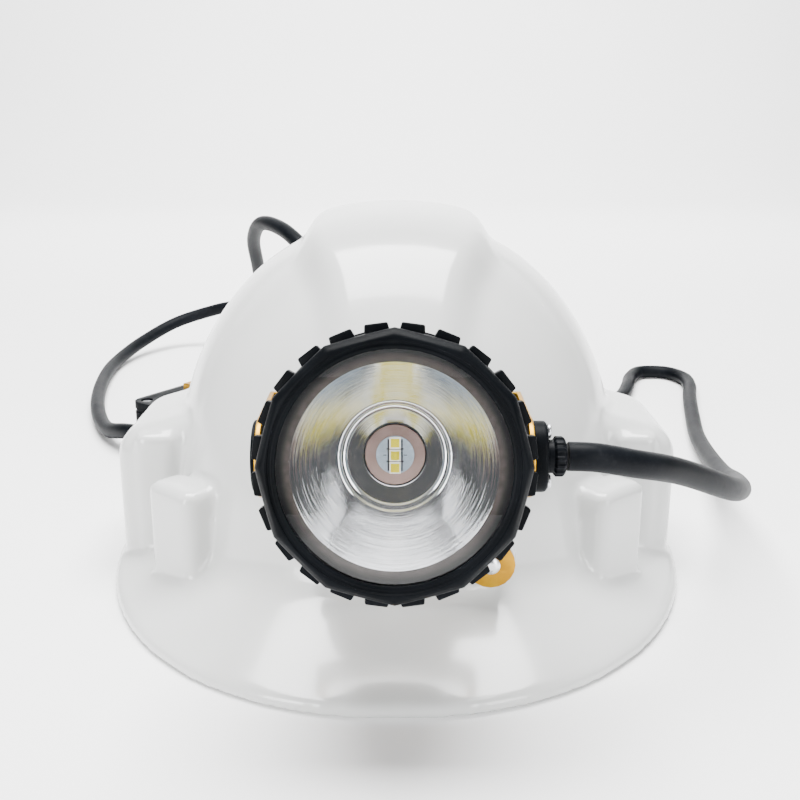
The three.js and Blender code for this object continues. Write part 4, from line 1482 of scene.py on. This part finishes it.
def ribbed_collar():
    inner, outer, radius = COLLAR["inner"], COLLAR["outer"], COLLAR["radius"]
    outline = [
        (4.25, inner),
        (4.8, inner, 0.1),
        (4.8, inner + 1.6),
        (radius, inner + 2.2, 0.2),
        (radius, outer - 0.7, 0.5),
        (radius - 1, outer, 0.2),
        (4.25, outer, 0.1),
    ]
    piece = turned("cable_collar", outline, COLLAR["ribs"] * 12, "right")
    for vertex in piece.data.vertices:
        reach = math.hypot(vertex.co.y, vertex.co.z) / MM
        if reach > 5:
            wave = math.cos(COLLAR["ribs"] * math.atan2(vertex.co.z, vertex.co.y))
            depth = 0.42 * (1 - ease(wave, -0.35, 0.35))
            vertex.co.y *= 1 - depth / reach
            vertex.co.z *= 1 - depth / reach
    return piece


settle(ribbed_collar(), LAMP, "headpiece", RUBBER, ["gland_collar"])


def cross_slot(size, depth):
    """The cutter for a cross recess: two thin wedges, in a plane facing +X."""
    half = size / 2
    arms = []
    for turn in (0, 90):
        arm = block("arm", (-depth, -half, -size * 0.13), (1, half, size * 0.13))
        for vertex in arm.data.vertices:
            if vertex.co.x < 0:
                vertex.co.y *= 0.45
        arm.data.transform(Matrix.Rotation(math.radians(turn), 4, "X"))
        arms.append(arm)
    return weld(arms[0], arms[1])


def gland_screw(number):
    side = 1 if number == 1 else -1
    face = FLANGE["outer"] + 0.3
    outline = [
        (0, 35),
        (1.1, 35),
        (1.1, face),
        (2.1, face, 0.2),
        (2.1, face + 1, 0.5),
        (0, face + 1.2),
    ]
    piece = turned(f"flange_screw_{number}", outline, 48, "right")
    slot = cross_slot(2.4, 0.6)
    slot.data.transform(Matrix.Translation(((face + 1.2) * MM, 0, 0)))
    cut(piece, slot)
    piece.data.transform(Matrix.Translation((0, 0, side * FLANGE["screw"] * MM)))
    settle(piece, LAMP, "headpiece", STEEL, [f"gland_screw_{number}"])


gland_screw(1)
gland_screw(2)

pivot_face = -(ARM_OUTSIDE + 0.3)
pivot_outline = [
    (0, pivot_face - 1.5),
    (2.6, pivot_face - 1.6),
    (5.4, pivot_face - 1.6, 0.4),
    (6.4, pivot_face - 1.2, 0.3),
    (10.4, pivot_face - 0.9, 0.3),
    (10.4, pivot_face),
    (2, pivot_face),
    (2, -30),
    (0, -30),
]
pivot = turned("pivot_shoulder_screw", pivot_outline, 96, "right")
pivot_slot = cross_slot(6.4, 1.4)
pivot_slot.data.transform(Matrix.Rotation(math.pi, 4, "Z"))
pivot_slot.data.transform(Matrix.Translation(((pivot_face - 1.5) * MM, 0, 0)))
cut(pivot, pivot_slot)
settle(pivot, LAMP, "headpiece", BLACK, ["pivot_screw"])

# %% [markdown]
# ## Battery pack
# The pack is a shallow tray with a screwed cover and a steel belt loop. Mouldings like these have
# rounded edges of a millimetre and more, and their screws sit in counterbores. Its inner parts are
# hidden, but they get their finishes too, because the pack can be opened.


# %% Case, cover, seal and gland
def boxes_of_pack():
    case = copy_of("battery_case", "pack_tray", 0.9, 3)
    settle(case, HERE, ROOT, PACK_BLACK, ["battery_case"], 40)
    cover = copy_of("battery_cover", "pack_cover", 0.7, 3)
    for x in (95, 98, 101):
        groove = block("groove", (x - 0.6, -46, 25.3), (x + 0.6, -12, 28))
        groove.data.transform(PACK)
        cut(cover, groove)
    settle(cover, HERE, ROOT, PACK_BLACK, ["battery_cover"], 40)


boxes_of_pack()
pack_seal = copy_of("battery_seal", "pack_seal", 0.2, 2)
settle(pack_seal, HERE, ROOT, RUBBER, ["battery_seal"])
elbow = copy_of("battery_gland", "pack_elbow", 0.8, 3)
settle(elbow, HERE, ROOT, PACK_BLACK, ["battery_gland"], 40)
loop = copy_of("belt_loop", "steel_belt_loop", 0.6, 3)
settle(loop, HERE, ROOT, GOLD, ["belt_loop"], 40)


# %% Cover screws
def cover_screw(number):
    node = f"cover_screw_{number}"
    low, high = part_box(node)
    length = (high.z - low.z) / MM
    outline = [
        (0, 0),
        (1.5, 0, 0.3),
        (1.5, length - 1.5),
        (2.8, length - 1.5, 0.1),
        (2.8, length - 0.5, 0.4),
        (0, length),
    ]
    piece = turned(f"pack_screw_{number}", outline, 48, "up")
    slot = cross_slot(3.4, 0.9)
    slot.data.transform(Matrix.Rotation(math.radians(-90), 4, "Y"))
    slot.data.transform(Matrix.Translation((0, 0, length * MM)))
    cut(piece, slot)
    piece.data.transform(Matrix.Rotation(math.radians(23 * number), 4, "Z"))
    place = Vector(((low.x + high.x) / 2, (low.y + high.y) / 2, low.z))
    settle(piece, Matrix.Translation(place), ROOT, STEEL, [node])


for number in (1, 2, 3, 4):
    cover_screw(number)

for number in (1, 2):
    node = f"battery_cell_{number}"
    cell = copy_of(node, f"cell_{number}", 0.5, 3)
    settle(cell, HERE, ROOT, CELL_WRAP, [node])
circuit = copy_of("protection_board", "charge_board", 0.1, 1)
settle(circuit, HERE, ROOT, GREEN_BOARD, ["protection_board"])
